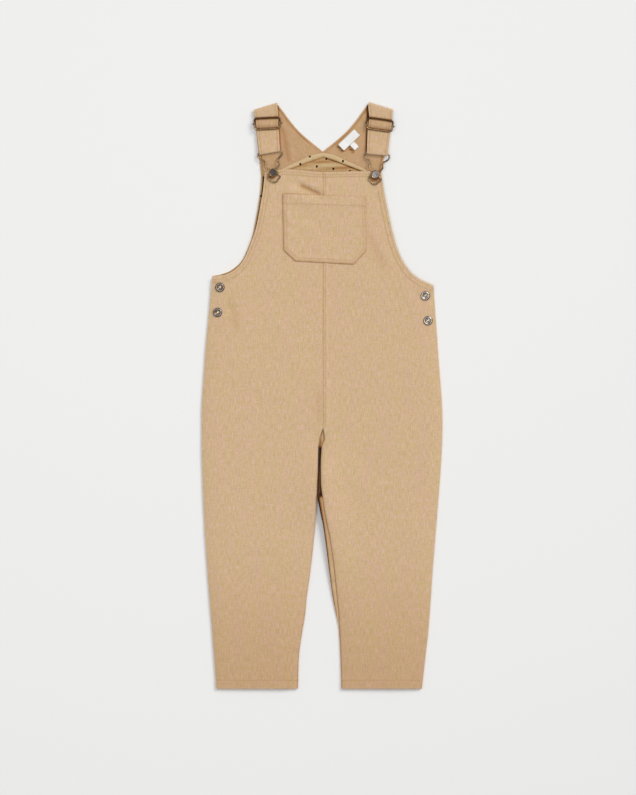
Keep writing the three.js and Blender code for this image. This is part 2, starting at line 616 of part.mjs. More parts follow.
// Printed facing along the left back armhole, which shows past the edge of the bib.
function armholeFacing() {
  const topY = FACING_TOP.at(-1).top - 0.6;
  const stations = spread(BACK_ARMHOLE_LEFT[1].y + 0.2, topY, 18, 1.6);
  const edge = stations.map((y) => new THREE.Vector2(backArmhole.left(y) + 0.5, y));
  const rows = edge.map((point, i) => {
    const [before, after] = [edge[Math.max(i - 1, 0)], edge[Math.min(i + 1, edge.length - 1)]];
    const along = after.clone().sub(before).normalize();
    const inward = new THREE.Vector2(along.y, -along.x).multiplyScalar(ARMHOLE_FACING_WIDTH);
    return [0, 0.5, 1].map((share) => {
      const place = point.clone().addScaledVector(inward, share);
      return new THREE.Vector3(place.x, Math.min(place.y, topY), CLOTH + GAP + FACING_CLOTH);
    });
  });
  return wall(rows, rows.map((row) => row.map((p) => new THREE.Vector3(p.x, p.y, CLOTH + GAP))));
}

// Patch pocket: the front's own points moved out, with a turned hem at the mouth.
function pocket() {
  const left = curve(POCKET, "left");
  const right = curve(POCKET, "right");
  const straight = (column, y) => {
    const [a, b] = y < POCKET[1].y ? [POCKET[0], POCKET[1]] : [POCKET[1], POCKET[2]];
    return lerp(a[column], b[column], (y - a.y) / (b.y - a.y));
  };
  const [bottomY, mouthY] = [POCKET[0].y, POCKET[2].y];
  const hemY = mouthY - POCKET_HEM;
  const rows = [
    ...spread(bottomY, POCKET[1].y, 3),
    ...spread(POCKET[1].y, hemY - 0.5, 6).slice(1),
    ...spread(hemY, mouthY, 3),
  ];
  const middles = rows.map((y) =>
    spread(0, 1, 14).map((t) => {
      const x = lerp(straight("left", y), straight("right", y), t);
      const place = y + straight("tilt", y) * (t - 0.5);
      const side = x < CENTRE_SEAM_X ? "left" : "right";
      const gape = POCKET_GAPE * Math.sin(Math.PI * t) * smoothstep(y, hemY - 12, mouthY);
      const z = frontZ(side, x, place) + CLOTH + GAP + 0.1 + gape;
      return new THREE.Vector3(x, place, z + (y >= hemY ? POCKET_HEM_EXTRA / 2 : 0));
    }),
  );
  const hem = new Set(middles.filter((_, i) => rows[i] >= hemY).flat());
  return clothWall(middles, (point) => FACING_CLOTH + (hem.has(point) ? POCKET_HEM_EXTRA : 0));
}

// A small flat strip of ribbon on the right strap base, lifted along one long edge.
function ribbon({ x, y, long, wide, turn, lift = 0 }) {
  const angle = degToRad(turn);
  const rows = spread(-0.5, 0.5, 3).map((up) =>
    spread(-0.5, 0.5, 6).map((along) => {
      const [u, v] = [along * long, up * wide];
      const raised = lift * (0.5 - up) * (0.8 + 0.2 * Math.cos(along * 2 * Math.PI));
      return new THREE.Vector3(
        x + u * Math.cos(angle) - v * Math.sin(angle),
        y + u * Math.sin(angle) + v * Math.cos(angle),
        CLOTH + GAP + FACING_CLOTH / 2 + raised,
      );
    }),
  );
  return clothWall(rows, () => FACING_CLOTH);
}

// Wire frame of the slider: a rounded rectangle in one closed bend.
function sliderFrame() {
  const halfWidth = (SLIDER.width - SLIDER.wire) / 2 - SLIDER.corner;
  const halfHeight = (SLIDER.height - SLIDER.wire) / 2 - SLIDER.corner;
  const path = [];
  [[1, 1], [-1, 1], [-1, -1], [1, -1]].forEach(([sx, sy], quarter) => {
    spread(0, Math.PI / 2, 3).forEach((turn) => {
      const angle = turn + (quarter * Math.PI) / 2;
      path.push(
        new THREE.Vector3(
          sx * halfWidth + SLIDER.corner * Math.cos(angle),
          sy * halfHeight + SLIDER.corner * Math.sin(angle),
          0,
        ),
      );
    });
  });
  const loop = new THREE.CatmullRomCurve3(path, true, "centripetal");
  return new THREE.TubeGeometry(loop, 40, SLIDER.wire / 2, 7, true);
}

// Bar across the back of the slider, with a round knob at each end.
function sliderBar() {
  const half = SLIDER.width / 2 + SLIDER.barReach;
  const knob = SLIDER.knob / 2;
  const rod = SLIDER.wire / 2 - 0.1;
  const profile = [
    [0, -half - knob],
    [knob * 0.7, -half - knob * 0.7],
    [knob, -half],
    [knob * 0.7, -half + knob * 0.7],
    [rod, -half + knob * 0.9],
    [rod, half - knob * 0.9],
    [knob * 0.7, half - knob * 0.7],
    [knob, half],
    [knob * 0.7, half + knob * 0.7],
    [0, half + knob],
  ];
  const points = profile.map(([radius, along]) => new THREE.Vector2(radius, along));
  return new THREE.LatheGeometry(points, 10).rotateZ(Math.PI / 2);
}

// Hook: one closed bend of wire, from the bar in the strap's end down to the lobes behind the button.
function hookWire(side) {
  const frame = hookFrame(side);
  const height = (along) => lerp(HOOK_ON_BIB_Z, HOOK_BAR_Z, smoothstep(along, 6, HOOK_BAR_ALONG - 6));
  const point = ({ across, along }, sign) => {
    const place = frame.at(sign * across, along);
    return new THREE.Vector3(place.x, place.y, height(along));
  };
  const oneSide = HOOK_OUTLINE.map((row) => point(row, 1));
  const otherSide = HOOK_OUTLINE.slice(1).reverse().map((row) => point(row, -1));
  const loop = new THREE.CatmullRomCurve3([...oneSide, ...otherSide], true, "centripetal");
  return new THREE.TubeGeometry(loop, 104, HOOK_WIRE / 2, 6, true);
}

// Shank button: a foot on the bib, a shank through the hook's neck, and a cap with a raised rim.
function button() {
  const { cap, rim, shank, foot } = BUTTON;
  const neckTop = 2.9;
  const profile = [
    [0, 0],
    [foot, 0],
    [foot, 0.25],
    [shank, 0.4],
    [shank, neckTop],
    [cap - 0.5, neckTop],
    [cap, neckTop + 0.5],
    [cap, neckTop + 1.3],
    [cap - rim * 0.5, neckTop + 1.8],
    [cap - rim, neckTop + 1.7],
    [cap - rim - 0.3, neckTop + 1.3],
    [cap * 0.5, neckTop + 1.6],
    [0, neckTop + 1.7],
  ];
  const points = profile.map(([radius, z]) => new THREE.Vector2(radius, z));
  return new THREE.LatheGeometry(points, 16).rotateX(Math.PI / 2);
}

// Ring snap: a rounded ring with a dished middle and a small stud in it.
function snap() {
  const { radius, height, dish, stud } = SNAP;
  const profile = [
    [0, 0],
    [radius - 0.6, 0],
    [radius, 0.5],
    [radius - 0.3, height - 0.7],
    [(radius + dish) / 2 + 0.3, height],
    [dish + 0.3, height - 0.3],
    [dish - 0.3, height - 1.1],
    [stud + 0.3, height - 1.3],
    [stud, height - 0.8],
    [stud * 0.6, height - 0.5],
    [0, height - 0.4],
  ];
  const points = profile.map(([r, z]) => new THREE.Vector2(r, z));
  return new THREE.LatheGeometry(points, 16).rotateX(Math.PI / 2);
}

// Seats a fitting on the front's upper face, square to the cloth.
function seatOnFront(mesh, side, x, y, clearance) {
  const up = new THREE.Vector3(0, 0, 1);
  const normal = frontNormal(side, x, y);
  mesh.position.set(x, y, frontZ(side, x, y)).addScaledVector(normal, CLOTH / 2 + clearance);
  mesh.quaternion.setFromUnitVectors(up, normal);
}

for (const side of ["left", "right"]) {
  add(`back_${side}`, backHalf(side), MATERIALS.canvas);
  add(`front_${side}`, frontHalf(side), MATERIALS.canvas);
  add(`strap_${side}`, strap(side), MATERIALS.canvas);
  add(`hook_${side}`, hookWire(side), MATERIALS.brass);

  const { slider, button: place } = STRAPS[side];
  const frame = add(`slider_${side}`, sliderFrame(), MATERIALS.brass);
  frame.position.set(slider.x, slider.y, SLIDER_Z);
  frame.rotation.z = degToRad(slider.turn);
  const bar = add(`slider_bar_${side}`, sliderBar(), MATERIALS.brass);
  bar.position.set(slider.x, slider.y, SLIDER_BAR_Z);
  bar.rotation.z = degToRad(slider.turn);

  const shankButton = add(`button_${side}`, button(), MATERIALS.gunmetal);
  seatOnFront(shankButton, side, place.x, place.y, GAP);
  shankButton.quaternion.identity();
}
add("back_facing", backFacing(), MATERIALS.print);
add("armhole_facing_left", armholeFacing(), MATERIALS.print);
add("pocket", pocket(), MATERIALS.canvas);
add("label", ribbon(LABEL), MATERIALS.label);
add("size_tab", ribbon(SIZE_TAB), MATERIALS.label);
for (const { name, side, x, y } of SNAPS) {
  seatOnFront(add(name, snap(), MATERIALS.brass), side, x, y, GAP + 0.1);
}

garment.children.forEach((mesh) => mesh.position.sub(MIDDLE));

export default garment;
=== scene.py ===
# %% [markdown]
# # A child's dungarees, laid flat
# The garment is a stack of flat cloth pieces with a few metal fittings. Its solids are loaded first. Each
# later step lays a finer piece over one of them: woven cloth with its seams, folds and stitches, bent
# wire and turned buttons. Everything is in metres, +Y runs from the hems to the straps and +Z comes up
# off the table.

import math

import bmesh
import bpy
import numpy as np
from mathutils import Matrix, Vector, noise
from mathutils.bvhtree import BVHTree


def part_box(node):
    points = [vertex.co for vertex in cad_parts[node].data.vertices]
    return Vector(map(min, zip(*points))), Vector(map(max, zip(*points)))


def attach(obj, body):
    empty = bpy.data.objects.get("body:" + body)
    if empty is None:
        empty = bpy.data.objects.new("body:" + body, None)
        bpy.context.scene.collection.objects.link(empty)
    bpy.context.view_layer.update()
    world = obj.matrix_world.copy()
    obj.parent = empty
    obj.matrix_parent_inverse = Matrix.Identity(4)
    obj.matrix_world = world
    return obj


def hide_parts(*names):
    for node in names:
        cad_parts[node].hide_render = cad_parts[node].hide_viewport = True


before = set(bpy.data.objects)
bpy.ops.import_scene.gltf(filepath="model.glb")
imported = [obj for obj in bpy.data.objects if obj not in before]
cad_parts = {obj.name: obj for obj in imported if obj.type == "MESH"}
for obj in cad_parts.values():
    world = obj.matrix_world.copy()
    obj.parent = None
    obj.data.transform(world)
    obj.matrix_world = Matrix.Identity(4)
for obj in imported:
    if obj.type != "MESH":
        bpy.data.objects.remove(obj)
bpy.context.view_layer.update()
MM = 0.001
print("solids:", len(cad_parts))

# %% [markdown]
# ## The view
# The garment was photographed from straight above. A long lens high over the table keeps the hems and the
# straps at one scale, so a millimetre of cloth is the same share of the picture everywhere.

# %% Camera
MM_TO_A_PIXEL = 1.25
PICTURE_HEIGHT = 795 * MM_TO_A_PIXEL
CAMERA_HEIGHT = 6000.0
PICTURE_MIDDLE = (-5.1, -2.6)
SENSOR_HEIGHT = 24

camera = bpy.data.objects.new("camera", bpy.data.cameras.new("camera"))
camera.location = Vector((*PICTURE_MIDDLE, CAMERA_HEIGHT)) * MM
camera.data.sensor_fit = "VERTICAL"
camera.data.sensor_height = SENSOR_HEIGHT
camera.data.lens = SENSOR_HEIGHT * CAMERA_HEIGHT / PICTURE_HEIGHT
camera.data.clip_end = 20
bpy.context.collection.objects.link(camera)
bpy.context.scene.camera = camera
print("lens:", round(camera.data.lens, 1), "mm")

# %% [markdown]
# ## Table and studio light
# The table is pale and even. A large soft lamp stands to the upper right, so each edge throws a faint
# shadow to the lower left, and a pale surrounding light keeps those shadows open. The plain "Standard"
# view keeps the colours as they are set.

# %% Table and lamps
scene = bpy.context.scene
scene.view_settings.view_transform = "Standard"


def new_material(name, color, roughness=0.9, metallic=0.0):
    """A named material with one Principled shader: returns the material and that shader's node."""
    material = bpy.data.materials.new(name)
    material.use_nodes = True
    shader = material.node_tree.nodes["Principled BSDF"]
    shader.inputs["Base Color"].default_value = (*color, 1)
    shader.inputs["Roughness"].default_value = roughness
    shader.inputs["Metallic"].default_value = metallic
    return material, shader


def new_piece(name, bm, *materials):
    """Turns a bmesh into a smooth object at the origin."""
    mesh = bpy.data.meshes.new(name)
    bm.to_mesh(mesh)
    bm.free()
    for material in materials:
        mesh.materials.append(material)
    mesh.shade_smooth()
    piece = bpy.data.objects.new(name, mesh)
    bpy.context.collection.objects.link(piece)
    return piece


table_top, table_shader = new_material("table_top", (0.86, 0.86, 0.85), roughness=0.8)
table_shader.inputs["Specular IOR Level"].default_value = 0.2
bm = bmesh.new()
bmesh.ops.create_grid(bm, x_segments=1, y_segments=1, size=3, matrix=Matrix.Translation((0, 0, -0.2 * MM)))
table = new_piece("table", bm, table_top)

world = bpy.data.worlds.new("studio")
world.use_nodes = True
world.node_tree.nodes["Background"].inputs["Color"].default_value = (0.985, 0.99, 1, 1)
world.node_tree.nodes["Background"].inputs["Strength"].default_value = 0.36
scene.world = world


def lamp(name, place, size, power, color=(1, 1, 1)):
    """A square soft lamp that looks at the middle of the garment."""
    light = bpy.data.lights.new(name, "AREA")
    light.size = size
    light.energy = power
    light.color = color
    holder = bpy.data.objects.new(name, light)
    holder.location = place
    holder.rotation_euler = (-Vector(place)).to_track_quat("-Z", "Y").to_euler()
    bpy.context.collection.objects.link(holder)


lamp("window", (5.6, 5.6, 7.4), 5.0, 610, (1, 0.99, 0.975))
lamp("ceiling", (-0.5, 0.1, 2.6), 2.0, 26)
print("lamps:", len(bpy.data.lights))

# %% [markdown]
# ## Measures of the cut
# The outline of each cloth piece is a short table of places along its edge, in millimetres. `curve` draws
# a smooth line through a table with no overshoot between its rows, the way a cutter joins marks with a
# ruler's curved edge.

# %% Tables and smooth curves
HEM_Y, CROTCH_Y, BIB_TOP_Y, SEAM_X = -365.2, -39.5, 281.0, 2.0
UNDERARM_Y = {"left": 148.6, "right": 138.6}
MIDDLE = Vector((0.7, 1.2, 0))
BUTTONS = {"left": (-60.3, 279.3), "right": (67.1, 276.9)}
CLOTH, STRAP_CLOTH, FACING_CLOTH = 1.4, 1.2, 1.0
GAP = 0.3
HEM_DEPTH, EDGE_ROLL = 10.5, 9

SIDE_SEAM = {
    "y": [HEM_Y, -330, -292, -217, -142, -67, -30, 45, 120, 150],
    "left": [-131.2, -133.6, -136.4, -142.2, -146.7, -149.1, -149.3, -145.4, -138.8, -136.1],
    "right": [125.2, 129.1, 133.3, 138.7, 144.6, 149.9, 150.8, 146.1, 140.8, 138.7],
}
ARMHOLE = {
    "left": {
        "y": [148.6, 150.2, 153.9, 160.6, 167.4, 177.0, 189.0, 207.6, 226.4, 245.0, 257.6, 284.0],
        "x": [-136.2, -126.5, -115.5, -105.4, -99.2, -94.1, -89.1, -82.6, -78.5, -75.3, -73.2, -70.6],
    },
    "right": {
        "y": [138.6, 141.4, 146.0, 150.0, 154.2, 161.0, 170.5, 180.5, 190.5, 210.5, 230.5, 250.5, 284.0],
        "x": [139.2, 133.0, 123.1, 117.3, 112.2, 106.7, 100.7, 96.1, 92.5, 87.3, 83.0, 79.1, 74.3],
    },
}
BACK_ARMHOLE = {
    "left": {
        "y": [150.6, 152.4, 156.0, 163.2, 168.6, 177.0, 188.6, 200.5, 220.5, 240.5, 260.5, 284.0],
        "x": [-136.2, -126.6, -116.0, -105.6, -100.4, -95.6, -90.7, -86.5, -82.4, -78.8, -76.0, -74.7],
    },
    "right": {
        "y": [137.0, 144.6, 152.8, 164.0, 180.5, 210.5, 255.5, 284.0],
        "x": [138.6, 122.8, 111.6, 103.0, 94.7, 85.9, 77.0, 73.0],
    },
}
INSEAM = {
    "y": [HEM_Y, -329.5, -292, -275, -254.5, -217, -180, -148, -126, -122, -108, -86, -64.5, -52, CROTCH_Y],
    "front_left": [-29.6, -28.8, -24.1, -21.1, -19.2, -14.1, -10, -7.5, -6.2, -6, -5.5, -4.8, -4.5, -2.9, 1.9],
    "front_right": [25.3, 24.6, 23.1, 22.2, 20.2, 16.6, 11.4, 5.1, 1.8, 1.2, -0.4, -0.6, 0.6, 4.2, 2.1],
    "back_left": [-29.9, -29.1, -24.6, -21.6, -19.7, -14.6, -10.5, -8, -6.2, -4.2, -3.5, -2.9, -2.4, -0.7, 0.9],
    "back_right": [24.9, 23.7, 21.6, 19.3, 16.0, 11.1, 6.5, 1.8, -1.2, -2.4, -3.1, -2.5, -2.0, -0.3, 1.1],
}
FULLNESS = {
    "y": [HEM_Y, -325, -200, -120, -60, 60, 118, 150, 215, 285],
    "crown": [1.2, 1.9, 2.4, 2.5, 2.6, 2.5, 1.9, 1.3, 1.0, 0.6],
    "edge": [2.4, 2.4, 2.4, 2.4, 2.4, 2.4, 2.6, 3.8, 4.1, 4.3],
    "inseam_roll": [9, 9, 8, 3, 2.5, 2.5, 2.5, 2.5, 2.5, 2.5],
}
BIB_TOP = {"x": [-72, -44.6, 4, 57, 75], "dy": [-1.4, 2.6, -0.6, 0.2, -2.4]}


def curve(xs, ys):
    """A smooth line through points in order, with no overshoot. It takes numbers or arrays."""
    xs, ys = np.array(xs, float), np.array(ys, float)
    width, rise = np.diff(xs), np.diff(ys)
    step = rise / width
    before, after = step[:-1], step[1:]
    turning = before * after <= 0
    inner = np.where(turning, 0, 2 * before * after / np.where(turning, 1, before + after))
    slope = np.concatenate(([step[0]], inner, [step[-1]]))

    def at(x):
        x = np.clip(x, xs[0], xs[-1])
        i = np.clip(np.searchsorted(xs, x, side="right") - 1, 0, len(width) - 1)
        t = (x - xs[i]) / width[i]
        bend = slope[i] * width[i] * t * (1 - t) ** 2 - slope[i + 1] * width[i] * t * t * (1 - t)
        return ys[i] + rise[i] * t * t * (3 - 2 * t) + bend

    return at


def ease(x, low, high):
    """0 below low, 1 above high, and smooth between."""
    t = np.clip((np.asarray(x, float) - low) / (high - low), 0, 1)
    return t * t * (3 - 2 * t)


def bell(distance, width, power=2):
    """1 where the distance is 0, fading to nothing over about twice the width."""
    return np.exp(-((distance / width) ** power))


def unit(vectors):
    """The same directions, each one long."""
    return vectors / np.linalg.norm(vectors, axis=-1, keepdims=True)


def metres(place):
    """A place in the tables' millimetres as a place in the frame."""
    return (Vector(place) - MIDDLE) * MM


side_seam = {side: curve(SIDE_SEAM["y"], SIDE_SEAM[side]) for side in ("left", "right")}
armhole = {side: curve(ARMHOLE[side]["y"], ARMHOLE[side]["x"]) for side in ARMHOLE}
back_armhole = {side: curve(BACK_ARMHOLE[side]["y"], BACK_ARMHOLE[side]["x"]) for side in ARMHOLE}
inseam = {name: curve(INSEAM["y"], INSEAM[name]) for name in INSEAM if name != "y"}
crown, edge_height, inseam_roll = (curve(FULLNESS["y"], FULLNESS[key]) for key in list(FULLNESS)[1:])
bib_top = curve(BIB_TOP["x"], BIB_TOP["dy"])
print("hip width:", round(float(side_seam["right"](-30) - side_seam["left"](-30))), "mm")

# %% [markdown]
# ## How high the front lies
# Laid flat, the front rests on the back at its seams and rises between them by two or three millimetres.
# Soft folds lie over that crown. Each fold is a bell-shaped ridge or trough along a line, a row in a
# table: where it starts and ends, its half width and its height. The broad ones come first and the
# sharper creases, such as the one that runs into the pocket's mouth, after them.

# %% Folds and the front's height
FOLDS = [  # x0, y0, x1, y1, half width, height
    (-40, 268, 0, 248, 6, -1.2),  # crease from the left hook down to the pocket's mouth
    (-48, 258, -12, 240, 7, 0.8),  # ridge under that crease
    (-42, 226, 8, 178, 9, 0.5),  # pull across the pocket
    (-30, 236, 22, 190, 8, -0.4),  # hollow beside that pull
    (18, 262, 52, 272, 7, 0.4),  # right of the bib's seam
    (-128, 92, -96, 150, 9, 0.6),  # left underarm
    (128, 84, 100, 142, 8, 0.5),  # right underarm
    (2, 30, 2, -34, 11, 0.7),  # centre seam above the crotch
    (-138, 64, -60, 30, 14, 0.4),  # left hip
    (136, 52, 66, 14, 14, 0.4),  # right hip
    (-14, -52, -62, -120, 10, 0.5),  # left of the crotch
    (-22, -40, -78, -96, 11, -0.5),  # hollow beside that
    (14, -56, 58, -132, 10, 0.5),  # right of the crotch
    (26, -44, 78, -104, 11, -0.5),  # hollow beside that
    (-120, -150, -44, -196, 16, 0.5),  # left knee
    (122, -158, 50, -206, 16, 0.5),  # right knee
    (-28, -214, -88, -262, 12, -0.5),  # hollow below the left knee
    (36, -232, 96, -276, 12, -0.5),  # hollow below the right knee
    (-66, -290, -52, HEM_Y, 14, 0.5),  # wave into the left hem
    (96, -300, 88, HEM_Y, 14, 0.5),  # wave into the right hem
]
CREASES = [
    (-29, 264, 2, 251.5, 2.8, -1.1),  # sharp end of the crease at the pocket's mouth
    (-17, 266, 1, 257, 3.2, 0.6),  # cloth pushed up beside it
    (-31, 222, -25, 206, 5, -0.6),  # dent in the left of the pocket
    (-24, 205, -10, 186, 6, -0.5),  # where that dent runs out
    (-20, 249, 18, 244.5, 2.6, -0.25),  # wave under the pocket's mouth
    (66, 214, 88, 168, 6, 0.35),  # beside the right armhole
    (58, 206, 80, 160, 7, -0.3),  # hollow beside that
    (-112, 120, -104, 84, 6, -0.35),  # below the left armhole
    (-102, 122, -95, 80, 7, 0.3),  # ridge beside that
    (7, -2, 5, -38, 4, 0.4),  # cloth that rises beside the centre seam
    (-4, 10, -3, -36, 4, -0.25),  # and falls on its other side
]


def fold_height(folds, x, y):
    """What a list of folds adds at (x, y)."""
    total = np.zeros_like(x + y)
    for x0, y0, x1, y1, width, height in folds:
        dx, dy = x1 - x0, y1 - y0
        length = math.hypot(dx, dy)
        along = ((x - x0) * dx + (y - y0) * dy) / length**2
        off = ((x - x0) * dy - (y - y0) * dx) / length
        past = np.maximum(0, np.abs(along - 0.5) - 0.3) * length
        total = total + height * np.exp(-((off / width) ** 2) - (past / width / 1.6) ** 2)
    return total


def front_outer(side, y):
    """The outer edge of one half of the front: its side seam, then its armhole."""
    return np.where(y < UNDERARM_Y[side], side_seam[side](y), armhole[side](y))


def rounding(distance, roll):
    """How cloth rises away from a closed edge, from 0 at the edge to 1."""
    return 1 - np.exp(-np.maximum(distance, 0) / roll)


LEG_LIFT = {"left": (3.0, 120, 180), "right": (8.0, 130, 290)}  # height, and where below the crotch it fades


def leg_lift(side, x, y):
    """The legs stand off the table along the inseam, the right one more, which shades the gap."""
    high, start, end = LEG_LIFT[side]
    return high * bell(x - inseam[f"back_{side}"](y), 24) * ease(-y, 50, 112) * (1 - ease(-y, start, end))


def front_height(side, x, y):
    """The height of the middle of the front's cloth, in millimetres."""
    leg = ease(CROTCH_Y - y, 0, 30)
    inner = 1 + leg * (rounding(np.abs(x - inseam[f"front_{side}"](y)), inseam_roll(y)) - 1)
    round_off = rounding(np.abs(front_outer(side, y) - x), EDGE_ROLL) * inner
    folds = fold_height(FOLDS, x, y) + fold_height(CREASES, x, y)
    return edge_height(y) + round_off * (crown(y) + folds * round_off) + leg_lift(side, x, y)


print("folds:", len(FOLDS), "creases:", len(CREASES))

# %% [markdown]
# ## Sheets of cloth
# A cloth piece starts as Blender's flat grid. A function says where each of its points goes, so the grid
# can be dense along the sewn edges and open in the middle. Solidify then gives it the thickness of the
# canvas and a small Bevel softens the cut. The UV map holds the cloth's own millimetres, so that the
# weave runs along each piece as it was cut, also round a fold.

# %% The sheet maker


def write_mark(piece, name, values):
    """Stores one number at each point of a piece, which its finish reads by that name."""
    piece.data.attributes.new(name, "FLOAT", "POINT").data.foreach_set("value", values)


def sheet(name, points, uv, thickness, material, shade=0.0):
    """A cloth piece from arrays (rows, columns) of places in mm, cloth coordinates and shade from 0 to 1."""
    rows, columns = points.shape[:2]
    bm = bmesh.new()
    bmesh.ops.create_grid(bm, x_segments=columns - 1, y_segments=rows - 1, size=0.5)
    cell = np.array([(v.co.y + 0.5, v.co.x + 0.5) for v in bm.verts]) * (rows - 1, columns - 1)
    cell = tuple(np.rint(cell).astype(int).T)
    for vert, place in zip(bm.verts, points[cell]):
        vert.co = metres(place)
    piece = new_piece(name, bm, material)
    corner = np.empty(len(piece.data.loops), int)
    piece.data.loops.foreach_get("vertex_index", corner)
    layer = piece.data.uv_layers.new(name="cloth")
    layer.data.foreach_set("uv", (uv[cell][corner] * MM).ravel())
    write_mark(piece, "shade", np.clip(np.broadcast_to(shade, (rows, columns))[cell], 0, 1))
    solid = piece.modifiers.new("thickness", "SOLIDIFY")
    solid.thickness = thickness * MM
    solid.offset = 0
    solid.use_even_offset = True
    cut = piece.modifiers.new("cut edge", "BEVEL")
    cut.width = 0.3 * MM
    cut.segments = 2
    cut.limit_method = "ANGLE"
    cut.angle_limit = math.radians(50)
    cut.harden_normals = True
    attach(piece, "root")
    return piece


def cover(piece, node):
    """Puts a finished piece in a solid's place."""
    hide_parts(node)
    print(piece.name, len(piece.data.polygons), "faces")


def spread(*stops):
    """Numbers from stop to stop: each stop after the first is (value, step)."""
    values = [stops[0]]
    for value, step in stops[1:]:
        count = max(1, round(abs(value - values[-1]) / step))
        values += list(np.linspace(values[-1], value, count + 1)[1:])
    return np.array(values)


def between(low, high, edge, step, middle):
    """Columns for each row: step apart within edge of low and of high, and middle columns between."""
    near = np.arange(0, edge, step)
    share = np.linspace(0, 1, middle)
    fixed = np.concatenate((near, np.full(middle, edge), edge + edge - near[::-1]))
    part = np.concatenate((np.zeros(len(near)), share, np.ones(len(near))))
    width = (high - low)[:, None]
    scale = np.minimum(1, width / (2.2 * edge))
    return low[:, None] + fixed * scale + part * (width - 2 * edge * scale)


def ripple(x, y, size, seed):
    """Soft noise from about -1 to 1 whose bumps are about size millimetres across."""
    flat = np.stack(np.broadcast_arrays(x, y), -1).reshape(-1, 2) / size
    values = [noise.noise((a, b, seed)) for a, b in flat]
    return np.array(values).reshape(np.broadcast(x, y).shape) * 1.6


def run_of(path):
    """How far along a path each of its points is."""
    return np.concatenate(([0], np.cumsum(np.linalg.norm(np.diff(path, axis=0), axis=1))))


def distance_to(x, y, path):
    """The distance from each point to a line through the points of path."""
    start, end = path[:-1], path[1:]
    span = end - start
    best = np.full(np.broadcast(x, y).shape, 1e9)
    for (ax, ay), (sx, sy) in zip(start, span):
        t = np.clip(((x - ax) * sx + (y - ay) * sy) / (sx * sx + sy * sy + 1e-9), 0, 1)
        best = np.minimum(best, np.hypot(x - ax - t * sx, y - ay - t * sy))
    return best


def band(distance, width, height, soft=1.4):
    """A strip along an edge, raised where the cloth is turned in."""
    return height * (1 - ease(distance, width, width + soft))


def groove(distance, at, depth=0.3, half=0.7):
    """The furrow that a row of stitches pulls into the cloth."""
    return -depth * bell(distance - at, half)


print("cloth:", CLOTH, "mm")

# %% [markdown]
# ## Woven finishes
# The canvas is woven from threads of slightly different tan, some pinker and some yellower, which gives
# it its fine grain. One node group makes that weave for every cloth: it takes the cloth's coordinates and
# the thread pitch, and gives a tint, and a height for a Bump node. Thin streaks along both thread
# directions come from stretched noise, and the over-and-under of the threads from sine waves.

# %% Node helpers and the weave group


def feed(tree, target, value):
    """Gives an input socket what it takes: another socket, a colour or a number."""
    if isinstance(value, bpy.types.NodeSocket):
        tree.links.new(value, target)
    else:
        target.default_value = (*value, 1) if isinstance(value, tuple) else value


def math_node(tree, operation, a, b=0.0, clamp=False):
    """A Math node: each input is a socket or a number."""
    node = tree.nodes.new("ShaderNodeMath")
    node.operation = operation
    node.use_clamp = clamp
    for target, value in zip(node.inputs, (a, b)):
        feed(tree, target, value)
    return node.outputs[0]


def plus(tree, a, b):
    return math_node(tree, "ADD", a, b)


def minus(tree, a, b, clamp=False):
    return math_node(tree, "SUBTRACT", a, b, clamp)


def times(tree, a, b, clamp=False):
    return math_node(tree, "MULTIPLY", a, b, clamp)


def weighted(tree, *terms):
    """The sum of sockets, each times its weight."""
    total = 0.0
    for socket, weight in terms:
        total = plus(tree, times(tree, socket, weight), total)
    return total


def stretched_noise(tree, vector, scale, detail=2.0):
    """Noise from 0 to 1 on a vector scaled by three numbers."""
    mapping = tree.nodes.new("ShaderNodeMapping")
    mapping.inputs["Scale"].default_value = scale
    feed(tree, mapping.inputs["Vector"], vector)
    texture = tree.nodes.new("ShaderNodeTexNoise")
    for label, value in (("Scale", 1), ("Detail", detail), ("Vector", mapping.outputs["Vector"])):
        feed(tree, texture.inputs[label], value)
    return texture.outputs["Fac"]


def mix_color(tree, factor, a, b, blend="MIX"):
    """A colour Mix node: factor, a and b are sockets or values."""
    node = tree.nodes.new("ShaderNodeMix")
    node.data_type = "RGBA"
    node.blend_type = blend
    for target, value in ((node.inputs[0], factor), (node.inputs[6], a), (node.inputs[7], b)):
        feed(tree, target, value)
    return node.outputs[2]


def new_group(name, inputs, outputs):
    """An empty node group with named sockets: returns the group, what it is given and what it gives."""
    group = bpy.data.node_groups.new(name, "ShaderNodeTree")
    for label, kind, default in inputs:
        socket = group.interface.new_socket(label, in_out="INPUT", socket_type=kind)
        if default is not None:
            socket.default_value = default
    for label, kind in outputs:
        group.interface.new_socket(label, in_out="OUTPUT", socket_type=kind)
    return group, group.nodes.new("NodeGroupInput").outputs, group.nodes.new("NodeGroupOutput").inputs


def use_group(tree, group, **inputs):
    """A group's node in a tree, with its inputs by name: returns its outputs."""
    node = tree.nodes.new("ShaderNodeGroup")
    node.node_tree = group
    for label, value in inputs.items():
        feed(tree, node.inputs[label.replace("_", " ")], value)
    return node.outputs


def mark_of(tree, name):
    """The number that write_mark stored under a name."""
    node = tree.nodes.new("ShaderNodeAttribute")
    node.attribute_name = name
    return node.outputs["Fac"]


weave, given, result = new_group(
    "weave",
    [
        ("Cloth", "NodeSocketVector", None),
        ("Threads per metre", "NodeSocketFloat", 1700.0),
        ("Pink thread", "NodeSocketColor", (0.66, 0.445, 0.29, 1)),
        ("Yellow thread", "NodeSocketColor", (0.60, 0.43, 0.235, 1)),
        ("Grain", "NodeSocketFloat", 0.5),
    ],
    [("Color", "NodeSocketColor"), ("Height", "NodeSocketFloat")],
)
warp, weft, fleck, streak = (
    stretched_noise(weave, given["Cloth"], scale, detail=1)
    for scale in ((1250, 90, 1), (100, 1150, 7), (900, 640, 3), (230, 190, 1))
)
drift = stretched_noise(weave, given["Cloth"], (60, 12, 5), detail=2)


